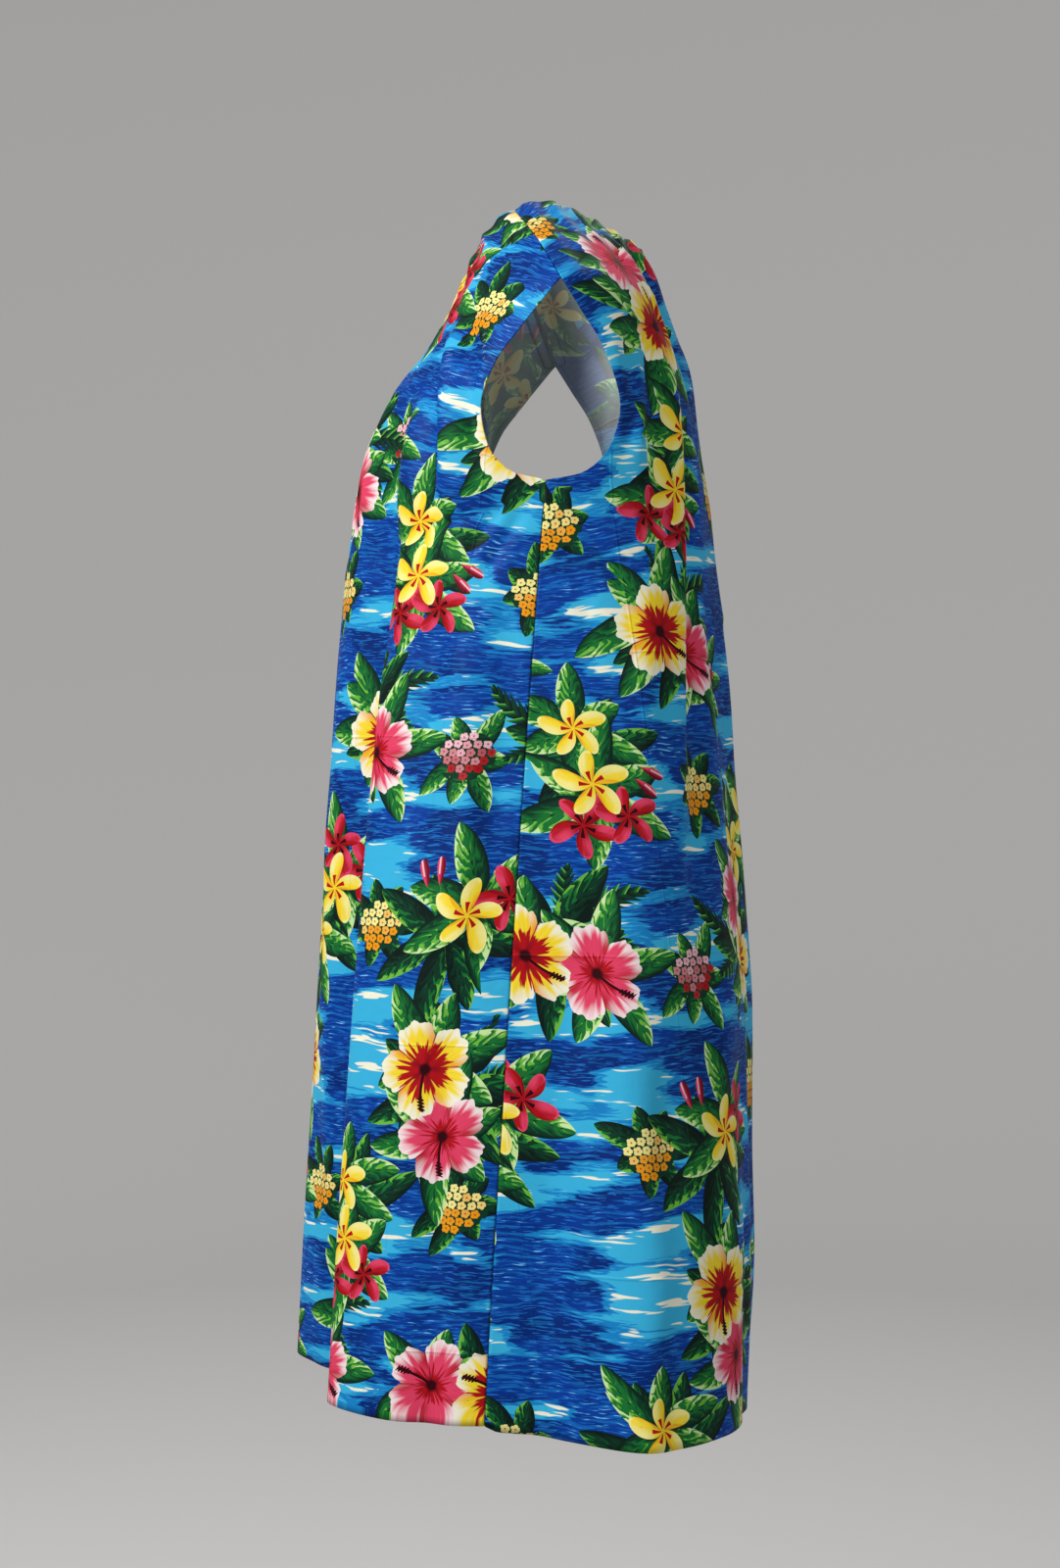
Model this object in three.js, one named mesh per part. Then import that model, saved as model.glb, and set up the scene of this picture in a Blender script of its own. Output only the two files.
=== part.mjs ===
// A sleeveless, knee length muumuu dress in its hollow, worn form.
// Two cloth panels, front and back, meet at the shoulder and side seams. The neck, the two
// armholes and the hem are open. Units are millimetres, +Z is up, the front faces -Y and the
// wearer's left is +X. The origin lies between the shoulders, level with the top of the neck edge.
import * as THREE from "three";

// Cloth
const wall = 1.5;
const seamGap = 0.3;

// Size of the mesh: columns over a panel's whole width, and steps between two stations of the
// tables below, for the bodice and for the skirt.
const columns = 64;
const bodiceSteps = 3;
const skirtSteps = 1;
const samplesAlongRow = 160;

// Rows of the tables that hold the shoulder tip and the underarm.
const tipRow = 2;
const underarmRow = 8;

// Shoulder seam, from the neck edge to the shoulder tip, on the left side.
const shoulderSeam = [
  { x: 85, y: -12, z: -7 },
  { x: 142, y: 5, z: -41 },
  { x: 185, y: 23, z: -81 },
];

// Armhole edges between the shoulder tip and the underarm.
const armholeFront = [
  { x: 184, y: -6, z: -117 },
  { x: 182, y: -27, z: -146 },
  { x: 180, y: -37, z: -177 },
  { x: 179, y: -32, z: -205 },
  { x: 178.5, y: -13, z: -226 },
];
const armholeBack = [
  { x: 184, y: 38, z: -105 },
  { x: 182.5, y: 56, z: -135 },
  { x: 180, y: 68, z: -176 },
  { x: 179, y: 60, z: -207 },
  { x: 178.3, y: 38, z: -227 },
];

// Side seam, from the underarm to the hem. It swings forward as it falls.
const sideSeam = [
  { x: 178, y: 12, z: -232 },
  { x: 179, y: 9, z: -265 },
  { x: 182, y: 4, z: -332 },
  { x: 185, y: -3, z: -430 },
  { x: 188, y: -11, z: -550 },
  { x: 191, y: -19, z: -680 },
  { x: 194, y: -27, z: -810 },
  { x: 197, y: -34, z: -936 },
];

// One row for each station down a panel, from the neck edge to the hem.
// y, z: the panel's centre line. wrap: how far round the row turns, in degrees.
// across, reach, drop: powers that square or hollow the row in X, Y and Z.
// lift, bulge: how far the row rises, and how far it swells sideways, beside the seam.
const frontRows = [
  { y: -63, z: -80, wrap: 90, across: 1, reach: 0.6, drop: 1.1, lift: 0, bulge: 0 },
  { y: -75, z: -97, wrap: 80, across: 1, reach: 0.72, drop: 1, lift: 0, bulge: 0 },
  { y: -92, z: -120, wrap: 72, across: 1, reach: 0.85, drop: 0.95, lift: 0, bulge: 0 },
  { y: -110, z: -143, wrap: 68, across: 1, reach: 0.9, drop: 0.85, lift: 0, bulge: 0 },
  { y: -126, z: -168, wrap: 68, across: 1, reach: 0.95, drop: 0.8, lift: 0, bulge: 0 },
  { y: -137, z: -196, wrap: 72, across: 1, reach: 0.95, drop: 0.75, lift: 0, bulge: 0 },
  { y: -143, z: -224, wrap: 78, across: 1, reach: 0.95, drop: 0.65, lift: 0, bulge: 0 },
  { y: -147, z: -252, wrap: 86, across: 1, reach: 0.92, drop: 0.55, lift: 0, bulge: 0 },
  { y: -150, z: -280, wrap: 90, across: 1, reach: 0.9, drop: 0.5, lift: 0, bulge: 0 },
  { y: -152, z: -310, wrap: 90, across: 1, reach: 0.87, drop: 0.6, lift: 0, bulge: 0 },
  { y: -156, z: -362, wrap: 90, across: 1, reach: 0.85, drop: 0.8, lift: 0, bulge: 0 },
  { y: -161, z: -445, wrap: 90, across: 1, reach: 0.83, drop: 1, lift: 0, bulge: 0 },
  { y: -167, z: -555, wrap: 90, across: 1, reach: 0.81, drop: 1.5, lift: 0, bulge: 0 },
  { y: -174, z: -681, wrap: 90, across: 1, reach: 0.8, drop: 2, lift: 0, bulge: 0 },
  { y: -181, z: -806, wrap: 90, across: 1, reach: 0.8, drop: 3, lift: 0, bulge: 0 },
  { y: -187, z: -927, wrap: 90, across: 1, reach: 0.8, drop: 4, lift: 0, bulge: 0 },
];
const backRows = [
  { y: 94, z: -24, wrap: 90, across: 1, reach: 1.1, drop: 1.4, lift: 11, bulge: 0 },
  { y: 103, z: -52, wrap: 80, across: 1, reach: 1, drop: 1.2, lift: 4, bulge: 0 },
  { y: 110, z: -77, wrap: 74, across: 1, reach: 0.95, drop: 1, lift: 2, bulge: 0 },
  { y: 119, z: -103, wrap: 70, across: 1, reach: 0.9, drop: 1, lift: 0, bulge: 0 },
  { y: 128, z: -130, wrap: 70, across: 1, reach: 0.9, drop: 1, lift: 0, bulge: 0 },
  { y: 135, z: -162, wrap: 72, across: 1, reach: 0.9, drop: 1, lift: 0, bulge: 0 },
  { y: 141, z: -196, wrap: 78, across: 1, reach: 0.88, drop: 0.9, lift: 0, bulge: 0 },
  { y: 147, z: -234, wrap: 86, across: 1, reach: 0.85, drop: 0.7, lift: 0, bulge: 0 },
  { y: 150, z: -272, wrap: 90, across: 0.98, reach: 0.8, drop: 0.55, lift: 0, bulge: 0 },
  { y: 154, z: -308, wrap: 90, across: 0.96, reach: 0.78, drop: 0.6, lift: 0, bulge: 2 },
  { y: 160, z: -362, wrap: 90, across: 0.93, reach: 0.74, drop: 0.8, lift: 0, bulge: 6 },
  { y: 167, z: -445, wrap: 90, across: 0.9, reach: 0.7, drop: 1, lift: 0, bulge: 11 },
  { y: 177, z: -556, wrap: 90, across: 0.85, reach: 0.64, drop: 1, lift: 0, bulge: 19 },
  { y: 184, z: -681, wrap: 90, across: 0.8, reach: 0.58, drop: 1, lift: 0, bulge: 27 },
  { y: 185, z: -814, wrap: 90, across: 0.72, reach: 0.49, drop: 0.6, lift: 0, bulge: 38 },
  { y: 179, z: -946, wrap: 90, across: 0.64, reach: 0.43, drop: 0.12, lift: 0, bulge: 46 },
];

// Power that sets how close to the seam a row rises and swells most.
const besideSeam = 3.1;

// Folds hang in upright planes. side: 1 is the wearer's left, -1 the right, 0 both. axis: the
// axis that the plane stands across. top, foot: heights where the fold starts and ends. from, to:
// the plane's place on its axis at either height, the same on both sides. width: half the fold's
// breadth. height: how far it stands out of the panel, or lies in it where negative. lean: how far
// its crest hangs over towards the centre line. grow: 1 deepens it down to its foot, 0 fades it
// out at both ends.
const frontFolds = [
  { side: 0, axis: "x", top: -150, foot: -936, from: 140, to: 152, width: 17, height: 5, lean: 8, grow: 1 },
  { side: 0, axis: "x", top: -150, foot: -936, from: 104, to: 80, width: 29, height: -37, lean: 0, grow: 1 },
  { side: 0, axis: "x", top: -260, foot: -936, from: 2, to: 5, width: 24, height: 5, lean: 0, grow: 1 },
  { side: 1, axis: "y", top: -92, foot: -345, from: -56, to: -59, width: 10, height: 4, lean: 7, grow: 0 },
  { side: 1, axis: "y", top: -88, foot: -345, from: -75, to: -80, width: 10, height: -9, lean: 0, grow: 0 },
  { side: -1, axis: "y", top: -92, foot: -325, from: -55, to: -62, width: 10, height: 4, lean: 6, grow: 0 },
  { side: -1, axis: "y", top: -90, foot: -325, from: -74, to: -84, width: 10, height: -8, lean: 0, grow: 0 },
  { side: 1, axis: "y", top: -104, foot: -235, from: -46, to: -39, width: 6, height: -4, lean: 0, grow: 0 },
  { side: -1, axis: "y", top: -104, foot: -225, from: -45, to: -41, width: 6, height: -3, lean: 0, grow: 0 },
  { side: 0, axis: "x", top: -78, foot: -200, from: 26, to: 50, width: 9, height: -5, lean: 0, grow: 0 },
  { side: 0, axis: "x", top: -80, foot: -180, from: 8, to: 12, width: 8, height: 3, lean: 0, grow: 0 },
];
const backFolds = [
  { side: 1, axis: "y", top: -80, foot: -600, from: 104, to: 113, width: 9, height: 5, lean: 9, grow: 0 },
  { side: 1, axis: "y", top: -84, foot: -600, from: 121, to: 132, width: 10, height: -10, lean: 0, grow: 0 },
  { side: -1, axis: "y", top: -80, foot: -540, from: 102, to: 114, width: 9, height: 5, lean: 8, grow: 0 },
  { side: -1, axis: "y", top: -84, foot: -540, from: 120, to: 132, width: 10, height: -9, lean: 0, grow: 0 },
  { side: 0, axis: "x", top: -12, foot: -200, from: 60, to: 72, width: 7, height: -5, lean: 0, grow: 0 },
  { side: 0, axis: "x", top: -14, foot: -220, from: 42, to: 50, width: 7, height: 4, lean: 4, grow: 0 },
  { side: 0, axis: "x", top: -16, foot: -190, from: 25, to: 30, width: 7, height: -4, lean: 0, grow: 0 },
  { side: 1, axis: "x", top: -22, foot: -240, from: 7, to: 12, width: 8, height: 3, lean: 0, grow: 0 },
  { side: 1, axis: "y", top: -88, foot: -225, from: 92, to: 93, width: 6, height: -5, lean: 0, grow: 0 },
  { side: -1, axis: "y", top: -86, foot: -210, from: 90, to: 92, width: 6, height: -5, lean: 0, grow: 0 },
  { side: 1, axis: "y", top: -104, foot: -200, from: 74, to: 76, width: 6, height: -3, lean: 0, grow: 0 },
  { side: 0, axis: "x", top: -330, foot: -932, from: 62, to: 78, width: 26, height: -9, lean: 0, grow: 1 },
  { side: -1, axis: "x", top: -420, foot: -932, from: 118, to: 150, width: 22, height: -6, lean: 0, grow: 1 },
];

// Power of the distance down a growing fold: below 1 it deepens fast near its top.
const growPower = 0.3;

// Folds that stand across Y fade in between these distances from the centre line.
const sidesFrom = 80;
const sidesFull = 130;

// Small gathers at the neck edge: their number over a panel's width, how far they stand out and
// how far down they run, as a share of the panel.
const neckGathers = { front: 13, back: 15, height: 1.6, foot: 0.1 };

// Smooth curve through the values of one column of a table, without overshoot.
function monotone(values) {
  const last = values.length - 1;
  const rise = values.slice(1).map((value, i) => value - values[i]);
  const slope = values.map((_, i) => {
    if (i === 0) return rise[0];
    if (i === last) return rise[last - 1];
    if (rise[i - 1] * rise[i] <= 0) return 0;
    return (2 * rise[i - 1] * rise[i]) / (rise[i - 1] + rise[i]);
  });
  return (station) => {
    const i = Math.min(Math.floor(station), last - 1);
    const t = station - i;
    const t2 = t * t;
    const t3 = t2 * t;
    return (
      (2 * t3 - 3 * t2 + 1) * values[i] +
      (t3 - 2 * t2 + t) * slope[i] +
      (3 * t2 - 2 * t3) * values[i + 1] +
      (t3 - t2) * slope[i + 1]
    );
  };
}

// Curves through each named column of a table.
function curvesOf(table) {
  const names = Object.keys(table[0]);
  return Object.fromEntries(names.map((name) => [name, monotone(table.map((row) => row[name]))]));
}

// The panel's edge on the left: shoulder seam, armhole, then side seam, each a curve of its own,
// so that both panels have the same seams.
function edgeOf(armhole) {
  const stretches = [
    { first: 0, curves: curvesOf(shoulderSeam) },
    { first: tipRow, curves: curvesOf([shoulderSeam[tipRow], ...armhole, sideSeam[0]]) },
    { first: underarmRow, curves: curvesOf(sideSeam) },
  ];
  return (station) => {
    const stretch = stretches.findLast(({ first }) => station >= first);
    const along = station - stretch.first;
    const { x, y, z } = stretch.curves;
    return { x: x(along), y: y(along), z: z(along) };
  };
}

// Points of one row, from the centre line to the left edge, evenly spaced along it.
function halfRow(shape, edge, count) {
  const wrap = THREE.MathUtils.degToRad(shape.wrap);
  const curve = [];
  for (let i = 0; i <= samplesAlongRow; i++) {
    const u = i / samplesAlongRow;
    const sideways = Math.sin(u * wrap) / Math.sin(wrap);
    const ahead = Math.max((Math.cos(u * wrap) - Math.cos(wrap)) / (1 - Math.cos(wrap)), 0);
    const swell = Math.sin(Math.PI * u ** besideSeam);
    curve.push(
      new THREE.Vector3(
        edge.x * sideways ** shape.across + shape.bulge * swell,
        edge.y + (shape.y - edge.y) * ahead ** shape.reach,
        edge.z + (shape.z - edge.z) * ahead ** shape.drop + shape.lift * swell,
      ),
    );
  }
  const travelled = [0];
  for (let i = 1; i < curve.length; i++) {
    travelled.push(travelled[i - 1] + curve[i].distanceTo(curve[i - 1]));
  }
  const length = travelled.at(-1);
  const points = [];
  let i = 1;
  for (let k = 0; k <= count; k++) {
    const target = (length * k) / count;
    while (i < curve.length - 1 && travelled[i] < target) i++;
    const share = (target - travelled[i - 1]) / (travelled[i] - travelled[i - 1]);
    points.push(curve[i - 1].clone().lerp(curve[i], THREE.MathUtils.clamp(share, 0, 1)));
  }
  return points;
}

// Stations of the grid's rows, closer together in the bodice than in the skirt.
function stations(rowCount) {
  const list = [];
  for (let row = 0; row < rowCount - 1; row++) {
    const steps = row < underarmRow ? bodiceSteps : skirtSteps;
    for (let k = 0; k < steps; k++) list.push(row + k / steps);
  }
  list.push(rowCount - 1);
  return list;
}

// How far the folds move a point out of the panel, and towards its centre line.
function foldMove(folds, point, across) {
  const { lerp, smoothstep } = THREE.MathUtils;
  const place = { x: Math.abs(point.x), y: point.y };
  const move = { out: 0, inward: 0 };
  for (const fold of folds) {
    if (fold.side === -Math.sign(across)) continue;
    const along = Math.min((fold.top - point.z) / (fold.top - fold.foot), 1);
    if (along <= 0) continue;
    const off = (place[fold.axis] - lerp(fold.from, fold.to, along)) / fold.width;
    const fading = smoothstep(along, 0, 0.2) * (1 - smoothstep(along, 0.3, 1));
    const beside = fold.axis === "y" ? smoothstep(place.x, sidesFrom, sidesFull) : 1;
    const strength = (fold.grow ? along ** growPower : fading) * beside * Math.exp(-off * off);
    move.out += fold.height * strength;
    move.inward += fold.lean * strength;
  }
  const edgeFade = smoothstep(1 - Math.abs(across), 0, 0.08);
  return { out: move.out * edgeFade, inward: move.inward * edgeFade };
}

function gatherHeight(count, down, across) {
  const fade = 1 - THREE.MathUtils.smoothstep(down, 0, neckGathers.foot);
  const edgeFade = THREE.MathUtils.smoothstep(1 - Math.abs(across), 0, 0.1);
  return neckGathers.height * fade * edgeFade * Math.cos(Math.PI * count * across);
}

// Unit normals of a grid of points. outward is 1 or -1.
function gridNormals(grid, outward) {
  const lastRow = grid.length - 1;
  const lastColumn = grid[0].length - 1;
  return grid.map((row, i) =>
    row.map((_, j) => {
      const along = row[Math.min(j + 1, lastColumn)].clone().sub(row[Math.max(j - 1, 0)]);
      const below = grid[Math.min(i + 1, lastRow)][j].clone();
      below.sub(grid[Math.max(i - 1, 0)][j]);
      return along.cross(below).multiplyScalar(outward).normalize();
    }),
  );
}

// The outer face of a panel, as a grid of points with their normals.
function outerFace({ rows, armhole, folds, gathers, outward }) {
  const shape = curvesOf(rows);
  const edge = edgeOf(armhole);
  const list = stations(rows.length);
  const half = columns / 2;
  const middle = [];
  const grid = list.map((station) => {
    const at = Object.fromEntries(Object.entries(shape).map(([name, curve]) => [name, curve(station)]));
    const points = halfRow(at, edge(station), half);
    middle.push(points[0]);
    const right = points.slice(1).map((point) => new THREE.Vector3(-point.x, point.y, point.z));
    return [...right.reverse(), ...points];
  });
  const travelled = [0];
  for (let i = 1; i < middle.length; i++) {
    travelled.push(travelled[i - 1] + middle[i].distanceTo(middle[i - 1]));
  }
  const normals = gridNormals(grid, outward);
  const moved = grid.map((row, i) => {
    const down = travelled[i] / travelled.at(-1);
    return row.map((point, j) => {
      const across = j / half - 1;
      const move = foldMove(folds, point, across);
      const out = move.out + gatherHeight(gathers, down, across);
      const result = point.clone().addScaledVector(normals[i][j], out);
      const towards = row[j - Math.sign(across)].clone().sub(point).normalize();
      return result.addScaledVector(towards, move.inward);
    });
  });
  return { grid: moved, normals: gridNormals(moved, outward), list, shift: [] };
}

// At the seams both panels take the mean of their normals, and each draws back by half the gap.
function joinAtSeams(front, back) {
  const lastColumn = columns;
  front.list.forEach((station, i) => {
    if (station > tipRow && station < underarmRow) return;
    for (const j of [0, lastColumn]) {
      const mean = front.normals[i][j].clone().add(back.normals[i][j]).normalize();
      const next = front.grid[Math.min(i + 1, front.grid.length - 1)][j].clone();
      const along = next.sub(front.grid[Math.max(i - 1, 0)][j]).normalize();
      mean.addScaledVector(along, -mean.dot(along)).normalize();
      const apart = along.clone().cross(mean);
      const inner = front.grid[i][j === 0 ? 1 : lastColumn - 1].clone().sub(front.grid[i][j]);
      const way = Math.sign(apart.dot(inner));
      front.normals[i][j] = mean.clone();
      back.normals[i][j] = mean.clone();
      front.shift.push({ i, j, move: apart.clone().multiplyScalar((way * seamGap) / 2) });
      back.shift.push({ i, j, move: apart.clone().multiplyScalar((-way * seamGap) / 2) });
    }
  });
  for (const panel of [front, back]) {
    for (const { i, j, move } of panel.shift) panel.grid[i][j].add(move);
  }
}

// A closed wall between the outer face and a face one wall thickness inside it.
function panelGeometry({ grid, normals }, outward) {
  const rowCount = grid.length;
  const width = grid[0].length;
  const positions = [];
  const outer = (i, j) => i * width + j;
  const inner = (i, j) => rowCount * width + i * width + j;
  grid.flat().forEach((point) => positions.push(point.x, point.y, point.z));
  grid.forEach((row, i) =>
    row.forEach((point, j) => {
      const inside = point.clone().addScaledVector(normals[i][j], -wall);
      positions.push(inside.x, inside.y, inside.z);
    }),
  );
  const index = [];
  const quad = (a, b, c, d) => {
    if (outward > 0) index.push(a, b, c, a, c, d);
    else index.push(a, c, b, a, d, c);
  };
  for (let i = 0; i < rowCount - 1; i++) {
    for (let j = 0; j < width - 1; j++) {
      quad(outer(i, j), outer(i, j + 1), outer(i + 1, j + 1), outer(i + 1, j));
      quad(inner(i, j), inner(i + 1, j), inner(i + 1, j + 1), inner(i, j + 1));
    }
  }
  for (let j = 0; j < width - 1; j++) {
    const hem = rowCount - 1;
    quad(outer(0, j), inner(0, j), inner(0, j + 1), outer(0, j + 1));
    quad(outer(hem, j), outer(hem, j + 1), inner(hem, j + 1), inner(hem, j));
  }
  for (let i = 0; i < rowCount - 1; i++) {
    const side = width - 1;
    quad(outer(i, 0), outer(i + 1, 0), inner(i + 1, 0), inner(i, 0));
    quad(outer(i, side), inner(i, side), inner(i + 1, side), outer(i + 1, side));
  }
  const geometry = new THREE.BufferGeometry();
  geometry.setAttribute("position", new THREE.Float32BufferAttribute(positions, 3));
  geometry.setIndex(index);
  geometry.computeVertexNormals();
  return geometry;
}

const frontFacing = -1;
const backFacing = 1;
const front = outerFace({
  rows: frontRows,
  armhole: armholeFront,
  folds: frontFolds,
  gathers: neckGathers.front,
  outward: frontFacing,
});
const back = outerFace({
  rows: backRows,
  armhole: armholeBack,
  folds: backFolds,
  gathers: neckGathers.back,
  outward: backFacing,
});
joinAtSeams(front, back);

// Printed cotton and polyester cloth, mostly a deep sea blue.
const printedCloth = new THREE.MeshStandardMaterial({ color: 0x1b5fae, roughness: 0.62, metalness: 0 });

function panelMesh(name, face, facing) {
  const mesh = new THREE.Mesh(panelGeometry(face, facing), printedCloth);
  mesh.name = name;
  return mesh;
}

const dress = new THREE.Group();
dress.name = "muumuu_dress";
dress.add(panelMesh("front_panel", front, frontFacing));
dress.add(panelMesh("back_panel", back, backFacing));

export default dress;
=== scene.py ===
import math

import bpy
import numpy as np
from mathutils import Matrix, Vector


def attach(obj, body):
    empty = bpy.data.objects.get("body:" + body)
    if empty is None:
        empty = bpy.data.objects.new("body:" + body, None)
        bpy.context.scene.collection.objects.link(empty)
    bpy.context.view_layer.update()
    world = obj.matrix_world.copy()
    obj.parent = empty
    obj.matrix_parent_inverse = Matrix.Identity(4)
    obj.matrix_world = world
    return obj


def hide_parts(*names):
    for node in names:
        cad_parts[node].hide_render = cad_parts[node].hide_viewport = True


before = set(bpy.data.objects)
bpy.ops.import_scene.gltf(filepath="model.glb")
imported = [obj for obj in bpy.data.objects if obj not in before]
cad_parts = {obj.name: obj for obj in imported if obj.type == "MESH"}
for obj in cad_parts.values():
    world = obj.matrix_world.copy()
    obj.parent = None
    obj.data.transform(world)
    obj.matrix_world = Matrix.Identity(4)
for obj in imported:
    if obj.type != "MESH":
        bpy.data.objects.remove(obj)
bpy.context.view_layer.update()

MM = 0.001

# Cloth and its mesh. The turned edges are thicker than the single cloth.
CLOTH = 0.45 * MM
TURNING = 1.0 * MM
HEM_TURNING = 20 * MM
EDGE_TURNING = 7 * MM
SEAM_GAP = 0.3 * MM
SEAM_DIP = 1.2 * MM
BODICE_STEPS = 5
ROW_STEP = 5.7 * MM
SAMPLES = 2400
PATTERN_STEP = 3

# Columns of a panel's mesh, as shares of its half width: even, and one more close to the seam.
HALF = 132
NEAR_SEAM = 0.9965
SHARES = np.array([i / HALF for i in range(HALF)] + [NEAR_SEAM, 1])
ACROSS = np.concatenate([-SHARES[:0:-1], SHARES])[None, :]
MIDDLE = len(SHARES) - 1

# Turned edges are sewn down on the inside. The hem is picked up on the outside by small stitches.
THREAD_RADIUS = 0.17 * MM
STITCH_LENGTH = 2.1 * MM
STITCH_STEP = 3.1 * MM
STITCH_SIDES = 6
STITCH_RINGS = 4
PICK_LENGTH = 0.7 * MM
PICK_STEP = 9.5 * MM
FROM_TURNING = 1.2 * MM

# Seam allowances lie open on the inside, this far to each side of a seam.
ALLOWANCE = 11 * MM
ALLOWANCE_STEPS = 5

# Stations of the tables that hold the shoulder tip and the underarm.
TIP = 2
UNDERARM = 8

# Shoulder seam, armhole edges and side seam on the wearer's left: x, y, z in millimetres.
SHOULDER_SEAM = [(85, -12, -7), (142, 5, -41), (185, 23, -81)]
ARMHOLE_FRONT = [
    (184, -6, -117), (182, -27, -146), (180, -37, -177), (179, -32, -205), (178.5, -13, -226),
]
ARMHOLE_BACK = [
    (184, 38, -105), (182.5, 56, -135), (180, 68, -176), (179, 60, -207), (178.3, 38, -227),
]
SIDE_SEAM = [
    (178, 12, -232), (179, 9, -265), (182, 4, -332), (185, -3, -430), (188, -11, -550),
    (191, -19, -680), (194, -27, -810), (197, -34, -936),
]

# One row for each station down a panel, in millimetres. y, z: the centre line. wrap: how far round
# the row turns, in degrees. across, reach, drop: powers that square or hollow the row in X, Y and
# Z. lift, bulge: how far the row rises, and how far it swells sideways, beside the seam.
ROW_NAMES = ("y", "z", "wrap", "across", "reach", "drop", "lift", "bulge")
FRONT_ROWS = [
    (-63, -80, 90, 1, 0.6, 1.1, 0, 0),
    (-75, -97, 80, 1, 0.72, 1, 0, 0),
    (-92, -120, 72, 1, 0.85, 0.95, 0, 0),
    (-110, -143, 68, 1, 0.9, 0.85, 0, 0),
    (-126, -168, 68, 1, 0.95, 0.8, 0, 0),
    (-137, -196, 72, 1, 0.95, 0.75, 0, 0),
    (-143, -224, 78, 1, 0.95, 0.65, 0, 0),
    (-147, -252, 86, 1, 0.92, 0.55, 0, 0),
    (-150, -280, 90, 1, 0.9, 0.5, 0, 0),
    (-152, -310, 90, 1, 0.87, 0.6, 0, 0),
    (-156, -362, 90, 1, 0.85, 0.8, 0, 0),
    (-161, -445, 90, 1, 0.83, 1, 0, 0),
    (-167, -555, 90, 1, 0.81, 1.5, 0, 0),
    (-174, -681, 90, 1, 0.8, 2, 0, 0),
    (-181, -806, 90, 1, 0.8, 3, 0, 0),
    (-187, -927, 90, 1, 0.8, 4, 0, 0),
]
BACK_ROWS = [
    (94, -24, 90, 1, 1.1, 1.4, 11, 0),
    (103, -52, 80, 1, 1, 1.2, 4, 0),
    (110, -77, 74, 1, 0.95, 1, 2, 0),
    (119, -103, 70, 1, 0.9, 1, 0, 0),
    (128, -130, 70, 1, 0.9, 1, 0, 0),
    (135, -162, 72, 1, 0.9, 1, 0, 0),
    (141, -196, 78, 1, 0.88, 0.9, 0, 0),
    (147, -234, 86, 1, 0.85, 0.7, 0, 0),
    (150, -272, 90, 0.98, 0.8, 0.55, 0, 0),
    (154, -308, 90, 0.96, 0.78, 0.6, 0, 2),
    (160, -362, 90, 0.93, 0.74, 0.8, 0, 6),
    (167, -445, 90, 0.9, 0.7, 1, 0, 11),
    (177, -556, 90, 0.85, 0.64, 1, 0, 19),
    (184, -681, 90, 0.8, 0.58, 1, 0, 27),
    (185, -814, 90, 0.72, 0.49, 0.6, 0, 38),
    (179, -946, 90, 0.64, 0.43, 0.12, 0, 46),
]
BESIDE_SEAM = 3.1

# Folds hang in upright planes that stand across an axis, in millimetres. side: 1 is the wearer's
# left, -1 the right, 0 both. top, foot: heights where the fold starts and ends. start, end: the
# plane's place on its axis at either height. width: half the breadth. height: how far it stands
# out. lean: how far its crest hangs over towards the centre line. grow: 1 deepens it downwards.
FOLD_NAMES = ("side", "axis", "top", "foot", "start", "end", "width", "height", "lean", "grow")
FRONT_FOLDS = [
    (0, "x", -150, -936, 140, 152, 17, 5, 8, 1),
    (0, "x", -150, -936, 104, 80, 29, -37, 0, 1),
    (0, "x", -260, -936, 2, 5, 24, 5, 0, 1),
    (1, "y", -92, -345, -56, -59, 10, 4, 7, 0),
    (1, "y", -88, -345, -75, -80, 10, -9, 0, 0),
    (-1, "y", -92, -325, -55, -62, 10, 4, 6, 0),
    (-1, "y", -90, -325, -74, -84, 10, -8, 0, 0),
    (1, "y", -104, -235, -46, -39, 6, -4, 0, 0),
    (-1, "y", -104, -225, -45, -41, 6, -3, 0, 0),
    (0, "x", -78, -200, 26, 50, 9, -5, 0, 0),
    (0, "x", -80, -180, 8, 12, 8, 3, 0, 0),
]
BACK_FOLDS = [
    (1, "y", -80, -600, 104, 113, 9, 5, 9, 0),
    (1, "y", -84, -600, 121, 132, 10, -10, 0, 0),
    (-1, "y", -80, -540, 102, 114, 9, 5, 8, 0),
    (-1, "y", -84, -540, 120, 132, 10, -9, 0, 0),
    (0, "x", -12, -200, 60, 72, 7, -5, 0, 0),
    (0, "x", -14, -220, 42, 50, 7, 4, 4, 0),
    (0, "x", -16, -190, 25, 30, 7, -4, 0, 0),
    (1, "x", -22, -240, 7, 12, 8, 3, 0, 0),
    (1, "y", -88, -225, 92, 93, 6, -5, 0, 0),
    (-1, "y", -86, -210, 90, 92, 6, -5, 0, 0),
    (1, "y", -104, -200, 74, 76, 6, -3, 0, 0),
    (0, "x", -330, -932, 62, 78, 26, -9, 0, 1),
    (-1, "x", -420, -932, 118, 150, 22, -6, 0, 1),
]
GROW_POWER = 0.3

# A fold is full from this share of its run, starts to fade at the next, and is gone at its foot.
FOLD_FULL = 0.2
FOLD_FADE = 0.3

# Folds and creases fade out over this share of the half width, beside a panel's edges.
FOLD_EDGE = 0.08
CREASE_EDGE = 0.04

# Those placed by Y, on the sides, grow to their full depth between these distances from the middle.
SIDES_FROM = 80 * MM
SIDES_FULL = 130 * MM

# Thin cloth hangs over further at a leaning fold than the solid's thick wall can.
OVERHANG = 1.5

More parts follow.
